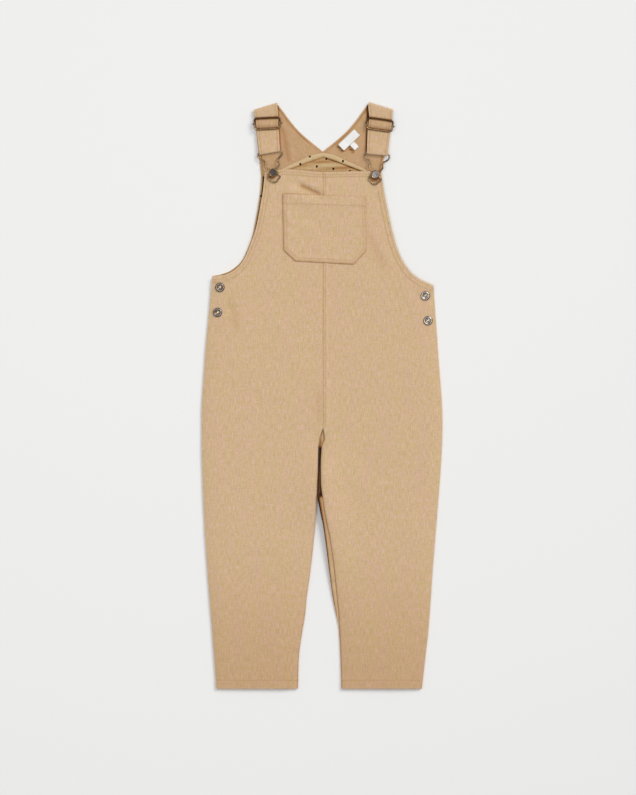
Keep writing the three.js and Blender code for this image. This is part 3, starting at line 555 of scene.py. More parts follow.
tint = mix_color(
    weave,
    minus(weave, weighted(weave, (warp, 0.1), (streak, 1.9), (drift, 1.0)), 1.0, clamp=True),
    given["Pink thread"],
    given["Yellow thread"],
)
lightness = weighted(weave, (fleck, 0.42), (weft, 0.1), (warp, 0.4), (drift, 0.08))
lightness = times(weave, minus(weave, lightness, 0.5), given["Grain"])
shaded = weave.nodes.new("ShaderNodeHueSaturation")
feed(weave, shaded.inputs["Value"], plus(weave, lightness, 1.0))
feed(weave, shaded.inputs["Saturation"], minus(weave, 1.0, times(weave, lightness, 0.32)))
feed(weave, shaded.inputs["Color"], tint)
feed(weave, result["Color"], shaded.outputs["Color"])

split = weave.nodes.new("ShaderNodeSeparateXYZ")
feed(weave, split.inputs["Vector"], given["Cloth"])
across, along = (times(weave, split.outputs[axis], given["Threads per metre"]) for axis in ("X", "Y"))
ridges = [
    math_node(weave, "ABSOLUTE", math_node(weave, "SINE", times(weave, threads, math.pi)))
    for threads in (across, along)
]
crossing = plus(weave, math_node(weave, "FLOOR", across), math_node(weave, "FLOOR", along))
woven = weave.nodes.new("ShaderNodeMix")
feed(weave, woven.inputs[0], math_node(weave, "PINGPONG", crossing, 1.0))
feed(weave, woven.inputs[2], ridges[0])
feed(weave, woven.inputs[3], ridges[1])
feed(weave, result["Height"], plus(weave, woven.outputs[0], fleck))
print("weave group nodes:", len(weave.nodes))

# %% [markdown]
# ## The cloths
# Canvas for the garment, a printed cotton for the facings and a smooth white tape for the neck label. The
# print is a common small spot: dark seeds in staggered rows, each with a pale fleck beside it. Shade is
# painted into the cloth: in a seam, under an edge or deep in the crotch the cloth is painted darker and
# browner, for the little light that gets there and bounces between warm fibres. A mark named "shade"
# carries that painted shade, and the group below turns it to colour.

# %% Canvas, print and tape
# Painted shade: the ramp turns the shade mark into a darker, browner colour, nearly black at 1.
painted_shade, given, result = new_group(
    "painted_shade",
    [("Color", "NodeSocketColor", (1, 1, 1, 1)), ("Shade", "NodeSocketFloat", 0.0)],
    [("Color", "NodeSocketColor")],
)
ramp = painted_shade.nodes.new("ShaderNodeValToRGB")
SHADE_STOPS = [
    (0.0, (1, 1, 1)), (0.3, (0.79, 0.68, 0.57)), (0.5, (0.60, 0.40, 0.25)), (0.75, (0.22, 0.13, 0.08)),
    (1.0, (0.03, 0.017, 0.01)),
]
while len(ramp.color_ramp.elements) < len(SHADE_STOPS):
    ramp.color_ramp.elements.new(0.5)
for stop, (at, color) in zip(ramp.color_ramp.elements, SHADE_STOPS):
    stop.position = at
    stop.color = (*color, 1)
feed(painted_shade, ramp.inputs["Fac"], given["Shade"])
feed(painted_shade, result["Color"], mix_color(painted_shade, 1.0, given["Color"], ramp.outputs["Color"], "MULTIPLY"))


SPOT_SPACING, SPOT_ROW = 20.9, 11.2
PRINT_START, PRINT_TURN = (-5.9, 287.3, 0), -8.2


def spot_mask(tree, place, shift, radius):
    """1 inside an oval in every cell of a half-drop layout, 0 outside."""
    row = math_node(tree, "DIVIDE", minus(tree, place["Y"], shift[1] * MM), SPOT_ROW * MM)
    row_number = math_node(tree, "ROUND", row)
    stagger = times(tree, math_node(tree, "PINGPONG", row_number, 1.0), 0.5)
    from_shift = minus(tree, place["X"], shift[0] * MM)
    column = plus(tree, math_node(tree, "DIVIDE", from_shift, SPOT_SPACING * MM), stagger)
    off_x, off_y = minus(tree, column, math_node(tree, "ROUND", column)), minus(tree, row, row_number)
    squares = [
        math_node(tree, "POWER", times(tree, off, share), 2.0)
        for off, share in ((off_x, SPOT_SPACING / radius[0]), (off_y, SPOT_ROW / radius[1]))
    ]
    return times(tree, minus(tree, 1.25, plus(tree, *squares)), 3.0, clamp=True)


def printed(tree, cloth, ground):
    """The ground colour with the spots of the print on it."""
    turned = tree.nodes.new("ShaderNodeMapping")
    turned.vector_type = "TEXTURE"
    turned.inputs["Location"].default_value = Vector(PRINT_START) * MM
    turned.inputs["Rotation"].default_value = (0, 0, math.radians(PRINT_TURN))
    feed(tree, turned.inputs["Vector"], cloth)
    place = tree.nodes.new("ShaderNodeSeparateXYZ")
    feed(tree, place.inputs["Vector"], turned.outputs["Vector"])
    pale = spot_mask(tree, place.outputs, shift=(-1.3, 0.3), radius=(1.3, 1.2))
    dark = spot_mask(tree, place.outputs, shift=(0, 0), radius=(1.3, 1.6))
    ground = mix_color(tree, times(tree, pale, 0.5), ground, (0.75, 0.64, 0.42))
    return mix_color(tree, dark, ground, (0.022, 0.013, 0.010))


def woven_material(name, pink, yellow, threads, grain, bump, sheen, spots=False):
    """A cloth finish: woven, with or without spots, and with painted shade where the shade mark is high."""
    material, shader = new_material(name, yellow, roughness=0.92)
    tree = material.node_tree
    cloth = tree.nodes.new("ShaderNodeUVMap")
    cloth.uv_map = "cloth"
    facts = {"Threads per metre": threads, "Pink thread": pink, "Yellow thread": yellow, "Grain": grain}
    threads = use_group(tree, weave, Cloth=cloth.outputs["UV"], **facts)
    color = printed(tree, cloth.outputs["UV"], threads["Color"]) if spots else threads["Color"]
    # Painted shade darkens the colour and also dims the sheen and the specular.
    shade = mark_of(tree, "shade")
    open_share = minus(tree, 1.0, shade, clamp=True)
    raised = tree.nodes.new("ShaderNodeBump")
    raised.inputs["Strength"].default_value = bump
    raised.inputs["Distance"].default_value = 0.12 * MM
    feed(tree, raised.inputs["Height"], threads["Height"])
    for label, value in {
        "Base Color": use_group(tree, painted_shade, Color=color, Shade=shade)["Color"],
        "Sheen Weight": times(tree, open_share, sheen),
        "Sheen Roughness": 0.6,
        "Specular IOR Level": times(tree, open_share, 0.2),
        "Normal": raised.outputs["Normal"],
    }.items():
        feed(tree, shader.inputs[label], value)
    return material


canvas = woven_material(
    "canvas", (0.68, 0.45, 0.315), (0.60, 0.44, 0.22), threads=1700, grain=1.0, bump=0.5, sheen=0.08
)
print_cloth = woven_material(
    "spotted_cotton", (0.63, 0.46, 0.27), (0.59, 0.43, 0.225),
    threads=2400, grain=1.0, bump=0.3, sheen=0.06, spots=True,
)
tape = woven_material(
    "white_tape", (0.86, 0.855, 0.84), (0.80, 0.795, 0.775), threads=3000, grain=0.1, bump=0.35, sheen=0.05
)
print("cloths:", canvas.name, print_cloth.name, tape.name)

# %% [markdown]
# ## The front
# Each half of the front is one cut from the bib to the hem. A child's dungarees could be modelled as one
# tube, but laid flat they are a stack, so the halves are two sheets that meet at the centre seam. The
# relief added here is what sewing does to cloth: turned edges stand a little proud, rows of stitches
# sink, and the cloth puckers between them.

# %% Front halves
armhole_path = {}
for side in ARMHOLE:
    rows = spread(ARMHOLE[side]["y"][0], (165, 0.6), (284, 4))
    armhole_path[side] = np.column_stack((armhole[side](rows), rows))
POCKET_MOUTH_DROP = 0.041


def front_relief(side, x, y, top_y):
    """What the sewing adds to the front: its height, with turned edges and puckers, and its furrows."""
    from_armhole = np.where(y > UNDERARM_Y[side] - 12, distance_to(x, y, armhole_path[side]), 99)
    from_seam = np.abs(x - SEAM_X)
    above_crotch = ease(y, CROTCH_Y, CROTCH_Y + 6)
    furrows = groove(from_armhole, 3) + groove(from_armhole, 7) + groove(y - HEM_Y, HEM_DEPTH, 0.3)
    furrows += groove(top_y - y, 3.6) + groove(top_y - y, 6.6)
    furrows -= above_crotch * 0.5 * bell(from_seam, 0.7)
    height = band(from_armhole, 7, 0.35) + band(top_y - y, 6.5, 0.3) + band(y - HEM_Y, HEM_DEPTH, 0.45)
    if side == "right":
        furrows += above_crotch * groove(from_seam, 2.6, 0.25)
        height += above_crotch * band(from_seam, 5, 0.3)
    sewn_lines = (from_armhole, top_y - y, y - HEM_Y, from_seam + 99 * (1 - above_crotch))
    height += 0.2 * ripple(x, y, 6, 3.0) * bell(np.minimum.reduce(sewn_lines), 9)
    return height, furrows


def front_half(side):
    """One half of the front, with its rows close together where the cloth is sewn."""
    start = UNDERARM_Y[side]
    body_rows = ((HEM_Y + 15, 0.75), (-78, 3.2), (CROTCH_Y + 6, 1.6), (start, 3.2))
    bib_rows = ((start + 9, 0.5), (170, 1.2), (247, 2.6), (265, 0.9), (271, 2.0), (BIB_TOP_Y, 0.7))
    rows = spread(HEM_Y, *body_rows, *bib_rows)
    outer, inner = front_outer(side, rows), inseam[f"front_{side}"](rows)
    x = between(outer, inner, 9, 0.75, 66) if side == "left" else between(inner, outer, 9, 0.75, 66)
    y = np.broadcast_to(rows[:, None], x.shape)
    rise = bib_top(x) * ease(y, BIB_TOP_Y - 45, BIB_TOP_Y)
    relief, furrows = front_relief(side, x, y + rise, BIB_TOP_Y + bib_top(x))
    height = front_height(side, x, y) + relief + furrows
    height += 0.22 * ripple(x, y, 34, 1.0) + 0.07 * ripple(x, y, 11, 2.0)
    # Painted shade: the stitch furrows, a painted shadow above the pocket's mouth, and the legs painted darker
    # towards the hems.
    above_mouth = y - 251.9 + POCKET_MOUTH_DROP * (x + 48.5)
    under_mouth = 0.45 * bell(above_mouth, 1.1) * ease(x, -50, -44) * (1 - ease(x, 8, 34))
    below_crotch = ease(-y, 60, 75)
    shade = 0.5 * np.abs(furrows) + under_mouth + 0.155 * ease(-y, 170, 365)
    # Painted shade along the inseam below the crotch and in the crease troughs, and a painted shadow under the
    # button's cap.
    shade = shade + 0.28 * below_crotch * bell(x - inner[:, None], 0.9)
    shade = shade + 0.35 * np.maximum(0, -fold_height(CREASES, x, y))
    button = np.array(BUTTONS[side]) + (-0.8, -3.0)
    shade = shade + 0.66 * bell(np.hypot(x - button[0], y - button[1]), 6.0, power=4)
    points = np.stack((x, y + rise, height), -1)
    return sheet(f"front_{side}_cloth", points, points[..., :2], CLOTH, canvas, shade=shade)


fronts = {side: front_half(side) for side in ("left", "right")}
for side, piece in fronts.items():
    cover(piece, f"front_{side}")

# %% [markdown]
# ## The back
# The back lies flat under the front. It shows only as a roll of seam along the right inseam, whose turned
# edge is painted deep in shade, as a narrow edge beside the left armhole, and at the bottom of the slit
# under the crotch, which is painted almost black for its shade.

# %% Back halves
YOKE_PEAK_Y, YOKE_FALL = 302.8, 0.375
BACK_UNDERARM_Y = {"left": 150.6, "right": 137.0}


def yoke_seam(x):
    """The seam between the back and the strap bases."""
    return YOKE_PEAK_Y - YOKE_FALL * np.abs(x - SEAM_X)


def back_half(side):
    """One half of the back: flat, with a low roll along its inseam and a lift under the crotch."""
    start = BACK_UNDERARM_Y[side]
    leg_rows = ((-262, 5), (-130, 3), (-38, 1.2), (start, 9))
    rows = spread(HEM_Y + 0.6, *leg_rows, (start + 9, 0.6), (262, 4), (yoke_seam(SEAM_X), 4))
    edge = back_armhole[side]
    outer = np.where(rows < start, side_seam[side](rows), edge(np.minimum(rows, yoke_seam(edge(rows)))))
    inner = inseam[f"back_{side}"](rows)
    if side == "right":
        turned = 1.3 + 2.2 * (1 - ease(-rows, 127, 165))
        inner = inner - turned * ease(-rows, 118, 127) * (1 - ease(-rows, 230, 300))
    shown = np.abs(inseam[f"front_{side}"](rows) - inner)[:, None]
    x = between(outer, inner, 10, 0.8, 14) if side == "left" else between(inner, outer, 10, 0.8, 14)
    y = np.minimum(rows[:, None], yoke_seam(x) - 0.1)
    from_inner = np.abs(x - inner[:, None])
    roll = np.maximum(1.6, shown - 0.3)
    seen = ease(roll, 1.6, 4) * ease(-y, 95, 125) * (side == "right")
    bulge = np.sin(np.pi * np.clip(from_inner / roll, 0, 1)) ** 0.7
    crotch = ease(-y, 38, 44) * (1 - ease(-y, 62, 68))
    lift = crotch * (1 - ease(from_inner, 0.5 * shown, shown + 0.1))
    height = CLOTH / 2 + 1.0 * seen * bulge + 1.7 * lift + leg_lift(side, x, y)
    # Painted shade: nearly black in the slit under the crotch, brown just above it, dark along the right roll's
    # turned edge.
    slit = ease(-y, 61, 67) * (1 - ease(-y, 123, 128)) * (1 - ease(from_inner, 5, 8))
    open_slit = ease(-y, 84, 98) * bell(from_inner, 1.3)
    above_slit = 0.16 + 0.3 * ease(-y, 50, 62) + 0.2 * bell(from_inner, 0.6)
    dark_edge = 0.3 + 0.5 * (1 - ease(-y, 190, 290))
    wide_edge = 1.2 + 1.6 * (1 - ease(-y, 127, 170))
    on_roll = 0.22 - 0.14 * ease(-y, 150, 230) + dark_edge * bell(from_inner, wide_edge)
    shade = slit * (0.97 - 0.25 * open_slit) + crotch * above_slit + seen * (1 - slit) * on_roll
    points = np.stack((x, y, height), -1)
    return sheet(f"back_{side}_cloth", points, points[..., :2], CLOTH, canvas, shade=shade)


backs = {side: back_half(side) for side in ("left", "right")}
for side, piece in backs.items():
    cover(piece, f"back_{side}")

# %% [markdown]
# ## The printed facings
# Where the back stands higher than the bib, its inside shows: a facing in spotted cotton. Its upper edge is
# folded over along the seam that rises to a point at the centre, and the cloth under the fold sinks into a
# few wrinkles. A second strip of it follows the left armhole.

# %% Facings
FACING_TOP = {
    "off": [0, 14, 27, 41, 53, 76],
    "top": [304.4, 301.6, 295.6, 289.2, 283.6, 275.5],
    "fold": [300.2, 295.4, 290.3, 285.0, 280.0, 271.0],
}
FACING_BOTTOM_Y = 256.0
WRINKLES = [  # x, y, half width, half height, rise
    (6, 288.5, 26, 1.8, 0.6),
    (-14, 284.5, 18, 1.4, 0.4),
    (22, 285.4, 20, 1.2, -0.5),
    (0, 292.8, 14, 1.1, -0.5),
    (-20, 288.0, 12, 1.1, -0.4),
]
FACING_Z = CLOTH + GAP + FACING_CLOTH / 2
facing_top, facing_fold = (curve(FACING_TOP["off"], FACING_TOP[k]) for k in ("top", "fold"))


def back_facing():
    """The facing across the top of the back."""
    x = np.linspace(back_armhole["left"](270) + 8, back_armhole["right"](270) - 1.4, 110)[None, :]
    off = np.abs(x - SEAM_X)
    fold, top = facing_fold(off), facing_top(off)
    lower = FACING_BOTTOM_Y + np.linspace(0, 1, 30)[:, None] * (fold - FACING_BOTTOM_Y)
    upper = fold + np.linspace(0, 1, 12)[1:, None] * (top - fold)
    y = np.concatenate((lower, upper))
    x = np.broadcast_to(x, y.shape)
    above_fold = y - fold
    height = FACING_Z + 0.6 * ease(above_fold, -0.4, 0.4)
    height = height + 0.3 * np.sin(np.pi * np.clip(above_fold / (top - fold), 0, 1))
    # Painted shade under the fold and over the lower facing, darker in the wrinkles' troughs and lighter on
    # their ridges.
    under_fold = bell(above_fold + 0.8, 1) * (0.35 + 0.35 * ease(x, 0, 12))
    shade = 0.3 * (1 - ease(above_fold, -1.5, 0)) + under_fold
    for wx, wy, wide, tall, rise in WRINKLES:
        wrinkle = rise * bell(x - wx, wide) * bell(y - wy - 0.03 * (x - wx), tall) * (above_fold < 0)
        height = height + wrinkle
        shade = shade - 0.5 * wrinkle
    height = height + 0.14 * ripple(x, y, 8, 5.0)
    points = np.stack((x, y, np.maximum(height, FACING_Z)), -1)
    return sheet("back_facing_cloth", points, points[..., :2], FACING_CLOTH, print_cloth, shade=shade)


def armhole_facing():
    """The strip of facing along the left back armhole, painted dark for the shadow of the front's edge."""
    rows = spread(152.8, (166, 0.8), (274.9, 3))
    edge = np.stack((back_armhole["left"](rows) + 0.4, rows), -1)
    heading = unit(np.gradient(edge, axis=0))
    inward = np.stack((heading[:, 1], -heading[:, 0]), -1)
    step = np.linspace(0, 7, 17)
    flat = edge[:, None, :] + inward[:, None, :] * step[None, :, None]
    height = np.full(flat.shape[:2], FACING_Z) - 0.25 * bell(step, 0.8)
    cloth_x = 26.5 + np.broadcast_to(run_of(edge)[:, None], height.shape)
    cloth_y = np.broadcast_to(PRINT_START[1] + 2.4 - step, height.shape)
    points = np.concatenate((flat, height[..., None]), -1)
    points[..., 1] = np.minimum(points[..., 1], 274.9)
    # Painted shadow of the front's edge over most of the strip's width.
    shade = 0.25 + 0.68 * ease(step, 0.9, 1.6)
    uv = np.stack((cloth_x, cloth_y), -1)
    return sheet("armhole_facing_cloth", points, uv, FACING_CLOTH, print_cloth, shade=shade)


facing, armhole_strip = back_facing(), armhole_facing()
cover(facing, "back_facing")
cover(armhole_strip, "armhole_facing_left")

# %% [markdown]
# ## The straps
# A strap is one long ribbon. It starts wide on the back, narrows to the shoulder, folds over, runs under
# the slider's upper edge, over its bar and under its lower edge, then round the bar of the hook and back
# up. The function below lays its rows down one after another, each with an outer end, an inner end and a
# height.

# %% Strap ribbons
NECK = {
    "y": [306, 310.5, 315.5, 320.5, 325.5, 330.5, 340.5, 350.5, 360.5, 367],
    "x": [0.2, 5.7, 11.9, 18.1, 23.8, 29.2, 38.1, 45.7, 52.5, 56.9],
}
NECK_MIDDLE_X = 1.6
STRAPS = {
    "left": {
        "fold_outer": (-84.9, 358.0), "fold_inner": (-56.0, 366.9), "base_outer_x": -75.1,
        "end": (-64.7, 304.9), "slider": (-67.8, 340.9), "slider_turn": 3,
    },
    "right": {
        "fold_outer": (89.5, 358.4), "fold_inner": (59.2, 367.6), "base_outer_x": 74.0,
        "end": (69.6, 302.7), "slider": (72.9, 339.4), "slider_turn": -8,
    },
}
SIGN = {"left": -1, "right": 1}
# Painted shade: how dark the painted shadow under each ribbon's inner edge is, and painted shadow lines on the
# bases:
EDGE_SHADE = {"left": 0.28, "right": 0.7}
# on the left a soft fold, on the right the shadows cast by the lifted label and size tab.
BASE_SHADOWS = {  # x0, y0, x1, y1, half width, shade
    "left": [(-48.2, 333, -40.7, 295.5, 3.0, 0.16)],
    "right": [(20.6, 313.4, 27.4, 306.3, 1.5, 0.5), (33.3, 311.5, 39.5, 305.5, 1.4, 0.5)],
}
WIRE, HOOK_WIRE = 2.0, 1.8
SLIDER_WIDTH, SLIDER_HEIGHT, SLIDER_CORNER = 33.6, 15.4, 2.4
HOOK_BAR_ALONG = 27.0
STRAP_HALF = 13
REAR_PLY_Z = CLOTH + GAP + STRAP_CLOTH / 2
SLIDER_BAR_Z = REAR_PLY_Z + STRAP_CLOTH / 2 + GAP + WIRE / 2
SLIDER_Z = SLIDER_BAR_Z + WIRE + GAP
FRONT_PLY_Z = SLIDER_Z - WIRE / 2 - GAP - STRAP_CLOTH / 2
OVER_BAR_Z = SLIDER_BAR_Z + WIRE / 2 + GAP + STRAP_CLOTH / 2
HOOK_BAR_Z = REAR_PLY_Z + STRAP_CLOTH / 2 + GAP + HOOK_WIRE / 2
HOOK_FRONT_PLY_Z = HOOK_BAR_Z + HOOK_WIRE / 2 + GAP + STRAP_CLOTH / 2
neck = curve(NECK["y"], NECK["x"])


def hook_place(side, across, along):
    """A place on the table from the button's middle: across the hook, and along it towards the strap."""
    button = np.array(BUTTONS[side])
    up = unit(STRAPS[side]["end"] - button)
    return button + across * np.array((up[1], -up[0])) + along * up


def strap_ends(side, along):
    """The outer and inner edges of the strap at a place along the hook."""
    sign = SIGN[side]
    return hook_place(side, sign * STRAP_HALF, along), hook_place(side, -sign * STRAP_HALF, along)


def past_slider(side, x, y):
    """How far a place is above the slider's middle, measured square to the slider."""
    turn, (slider_x, slider_y) = math.radians(STRAPS[side]["slider_turn"]), STRAPS[side]["slider"]
    return (y - slider_y) * math.cos(turn) - (x - slider_x) * math.sin(turn)


def strap_rows(side):
    """The ribbon's rows: where its outer and inner edges are, its height and which part it is."""
    facts, sign = STRAPS[side], SIGN[side]
    fold_outer, fold_inner = np.array(facts["fold_outer"]), np.array(facts["fold_inner"])
    fold_radius = (FRONT_PLY_Z - CLOTH / 2) / 2
    fold_depth = fold_radius + STRAP_CLOTH / 2
    outward = np.array((fold_inner[1] - fold_outer[1], fold_outer[0] - fold_inner[0]))
    outward = unit(outward * np.sign(outward[1]))
    turn_outer, turn_inner = fold_outer - outward * fold_depth, fold_inner - outward * fold_depth
    rows = []

    inner_foot = np.array((NECK_MIDDLE_X + sign * 0.1, yoke_seam(NECK_MIDDLE_X) + 0.1))
    outer_foot = np.array((facts["base_outer_x"], yoke_seam(facts["base_outer_x"]) + 0.1))
    neck_rows = np.concatenate(([inner_foot[1]], np.linspace(NECK["y"][0], turn_inner[1], 34)))
    for i, y in enumerate(neck_rows):
        t = i / (len(neck_rows) - 1)
        blend = float(ease(t, 0.8, 1))
        on_neck = np.array((NECK_MIDDLE_X + sign * neck(y), y))
        inner = inner_foot if i == 0 else (1 - blend) * on_neck + blend * turn_inner
        rows.append(((1 - t) * outer_foot + t * turn_outer, inner, CLOTH / 2, "base"))
    half_turn = np.linspace(0, math.pi, 11)[1:-1]
    for angle in half_turn:
        back = outward * (fold_depth - fold_radius * math.sin(angle))
        height = CLOTH / 2 + fold_radius * (1 - math.cos(angle))
        rows.append((fold_outer - back, fold_inner - back, height, "fold"))

    end_along = HOOK_BAR_ALONG - HOOK_WIRE / 2 - GAP - STRAP_CLOTH
    loop_radius = (HOOK_FRONT_PLY_Z - REAR_PLY_Z) / 2 + 0.05
    loop_depth = loop_radius + STRAP_CLOTH / 2
    loop_outer, loop_inner = strap_ends(side, end_along + loop_depth)
    turn = math.radians(facts["slider_turn"])
    across_slider = np.array((math.cos(turn), math.sin(turn)))
    for t in np.linspace(0, 1, 72):
        outer, inner = turn_outer + t * (loop_outer - turn_outer), turn_inner + t * (loop_inner - turn_inner)
        middle = (outer + inner) / 2
        held = bell(past_slider(side, *middle), 0.8 * SLIDER_HEIGHT, power=4)
        shift = (middle - facts["slider"]) @ across_slider * across_slider
        pinch = 0.012 * (inner - outer)
        rise = (HOOK_FRONT_PLY_Z - FRONT_PLY_Z) * float(ease(t, 0.76, 0.97))
        outer, inner = outer + held * (pinch - shift), inner - held * (pinch + shift)
        rows.append((outer, inner, FRONT_PLY_Z + rise, "front"))
    for angle in half_turn:
        ends = strap_ends(side, end_along + loop_depth - loop_radius * math.sin(angle))
        rows.append((*ends, REAR_PLY_Z + loop_radius * (1 + math.cos(angle)), "loop"))
    for t in np.linspace(0, 0.64, 10):
        ends = loop_outer + t * (turn_outer - loop_outer), loop_inner + t * (turn_inner - loop_inner)
        rows.append((*ends, REAR_PLY_Z, "rear"))
    return rows, (turn_inner, loop_inner)


def base_shade(side, flat, over_edge):
    """The painted shade of the strap's base: all over it, under the ribbon's edge, and along BASE_SHADOWS."""
    run = over_edge[1] - over_edge[0]
    length, (right, up) = np.linalg.norm(run), unit(run)
    beyond = (flat - over_edge[0]) @ np.array((up, -right)) * SIGN[side]
    down = (flat - over_edge[0]) @ np.array((right, up))
    shade = 0.22 + EDGE_SHADE[side] * (1 - ease(beyond, 0.8, 2.8)) * (1 - ease(down, length - 3, length + 1))
    for x0, y0, x1, y1, wide, dark in BASE_SHADOWS[side]:
        shade = shade + dark * bell(distance_to(flat[:, 0], flat[:, 1], np.array(((x0, y0), (x1, y1)))), wide)
    return shade


def strap(side):
    """The whole ribbon of one strap."""
    share = between(np.zeros(1), np.ones(1), 0.2, 0.022, 26)[0]
    rows, over_edge = strap_rows(side)
    points, uv, shades, travelled, last = [], [], [], 0.0, None
    for outer, inner, z, part in rows:
        first, second = (outer, inner) if side == "left" else (inner, outer)
        flat = first + share[:, None] * (second - first)
        width = np.linalg.norm(second - first)
        from_edge = np.minimum(share, 1 - share) * width
        height, shade = np.full(len(share), z), np.zeros(len(share))
        if part in ("front", "base"):
            furrow = groove(from_edge, 2.6, 0.25, 0.6)
            height = height + furrow - 0.18 * bell(from_edge, 0.7)
            # Painted shade in the stitch furrows.
            shade = shade - furrow * (1.6 if part == "base" else 0.8)
        if part == "base":
            shade += base_shade(side, flat, over_edge)
        if part == "front":
            off = np.abs(past_slider(side, *flat.T))
            height = height + (OVER_BAR_Z - FRONT_PLY_Z) * (1 - ease(off, 1.4, SLIDER_HEIGHT / 2 - 2.2))
            height = height + 0.12 * ripple(flat[:, 0], flat[:, 1], 9, 7.0) * ease(off, 8, 12)
            # Painted shade on the strap inside the slider, and painted shadows beside the slider's wires.
            shade += 0.14 * (1 - ease(off, 6, 8.5)) + 0.04
            for wire_edge in (SLIDER_HEIGHT / 2 + 0.5, SLIDER_HEIGHT / 2 - WIRE - 0.5):
                shade += 0.4 * bell(off - wire_edge, 0.8)
        here = np.array((*(outer + inner) / 2, z))
        travelled += 0 if last is None else float(np.linalg.norm(here - last))
        last = here
        points.append(np.column_stack((flat, height)))
        uv.append(np.column_stack((share * width - width / 2, np.full(len(share), travelled))))
        shades.append(shade)
    points, uv, shades = np.array(points), np.array(uv), np.array(shades)
    return sheet(f"strap_{side}_cloth", points, uv, STRAP_CLOTH, canvas, shade=shades)


straps = {side: strap(side) for side in ("left", "right")}
for side, piece in straps.items():
    cover(piece, f"strap_{side}")

# %% [markdown]
# ## The patch pocket
# The pocket lies on the bib, so its height is the bib's own height plus the two cloths. Its mouth is turned
# down into a hem and stands off the bib a little, and its other edges are turned under and sewn twice.

# %% Pocket
POCKET = {
    "y": [167.0, 182.2, 250.8], "tilt": [-4.0, -1.6, -4.3],
    "left": [-32.6, -47.3, -48.5], "right": [40.4, 56.1, 55.4],
}
POCKET_HEM, POCKET_STITCHES = 12.5, (1.8, 4.2)


def pocket_edge(y):
    """The left and right edges and the tilt of the pocket at a height y."""
    return (np.interp(y, POCKET["y"], POCKET[k]) for k in ("left", "right", "tilt"))


def pocket_outline():
    """The sewn edge, from the left end of the mouth round the bottom to its right end."""
    y = np.array(POCKET["y"])
    left, right, tilt = pocket_edge(y)
    down = np.column_stack((left, y - tilt / 2))[::-1]
    up = np.column_stack((right, y + tilt / 2))
    return np.vstack((down, up))


def over_front(x, y):
    """The height of the front under something that lies on it."""
    return np.where(x < SEAM_X, front_height("left", x, y), front_height("right", x, y))


def pocket():
    """The patch pocket."""
    rows = spread(POCKET["y"][0], (176, 0.8), (234, 2.2), (POCKET["y"][2], 0.8))
    left, right, tilt = pocket_edge(rows)
    x = between(left, right, 8, 0.8, 34)
    share = (x - left[:, None]) / (right - left)[:, None]
    y = rows[:, None] + tilt[:, None] * (share - 0.5)
    from_edge = distance_to(x, y, pocket_outline())
    from_mouth = POCKET["y"][2] - rows[:, None]
    gape = 0.9 * np.sin(np.pi * share) * ease(rows[:, None], 226, POCKET["y"][2])
    height = over_front(x, y) + CLOTH / 2 + 0.12 + FACING_CLOTH / 2 + gape
    furrows = sum(groove(from_edge, at, 0.25) for at in POCKET_STITCHES)
    furrows = furrows + groove(from_mouth, POCKET_HEM - 1, 0.3)
    height += band(from_edge, 6.5, 0.3) + band(from_mouth, POCKET_HEM, 0.3) + furrows
    height += 0.16 * ripple(x, y, 6, 9.0) * bell(np.minimum(from_edge, from_mouth), 8)
    height += 0.12 * ripple(x, y, 18, 4.0)
    points = np.stack((x, y, height), -1)
    # Painted shade: a dark line along the pocket's edge, faint on the lit right side, and darker stitch
    # furrows.
    dark_side = 1 - 0.8 * ease(share, 0.9, 0.97) * ease(y, 180, 186)
    shade = 0.45 * dark_side * bell(from_edge, 0.8) - 0.4 * furrows
    return sheet("pocket_cloth", points, points[..., :2] + (7.3, 0.4), FACING_CLOTH, canvas, shade=shade)


patch = pocket()
cover(patch, "pocket")

# %% [markdown]
# ## Neck label and size tab
# Two short pieces of smooth white tape, sewn to the inside of the right strap's base. They carry no
# letters.

# %% Labels
TAPE = 0.7
LABELS = {
    "label": {"x": 34.5, "y": 320.4, "long": 28, "wide": 10.3, "turn": 44, "lift": (2.4, 0.5)},
    "size_tab": {"x": 41.0, "y": 313.0, "long": 8.8, "wide": 7.0, "turn": -46, "lift": (0.3, 1.6)},
}


def tape_piece(name, x, y, long, wide, turn, lift):
    """A strip of tape, lifted at its left end and along its lower edge."""
    angle = math.radians(turn)
    along, up = np.meshgrid(np.linspace(-0.5, 0.5, 27), np.linspace(-0.5, 0.5, 13))
    u, v = along * long, up * wide
    raised = lift[0] * ease(-along, 0.1, 0.5) + lift[1] * (0.5 - up) + 0.06 * ripple(u, v, 4, 8.0)
    flat_x = x + u * math.cos(angle) - v * math.sin(angle)
    flat_y = y + u * math.sin(angle) + v * math.cos(angle)
    points = np.stack((flat_x, flat_y, CLOTH + 0.35 + FACING_CLOTH / 2 + raised), -1)
    return sheet(f"{name}_tape", points, np.stack((u, v), -1), TAPE, tape)


tapes = {name: tape_piece(name, **facts) for name, facts in LABELS.items()}
for name, piece in tapes.items():
    cover(piece, name)

# %% [markdown]
# ## Metal finishes
# The fittings are metal that was darkened and then rubbed, so their colour drifts between bright and
# brown. The patina group gives that drift as a colour and a roughness, and lets the bright colour show
# only on what faces up: a painted highlight that makes the tops lighter than the sides. The button caps
# have a grey gunmetal face and the snaps are steel. The right cap's gunmetal is a lighter copy of the
# left one, a painted reflection, and the right snaps are given a brighter steel.

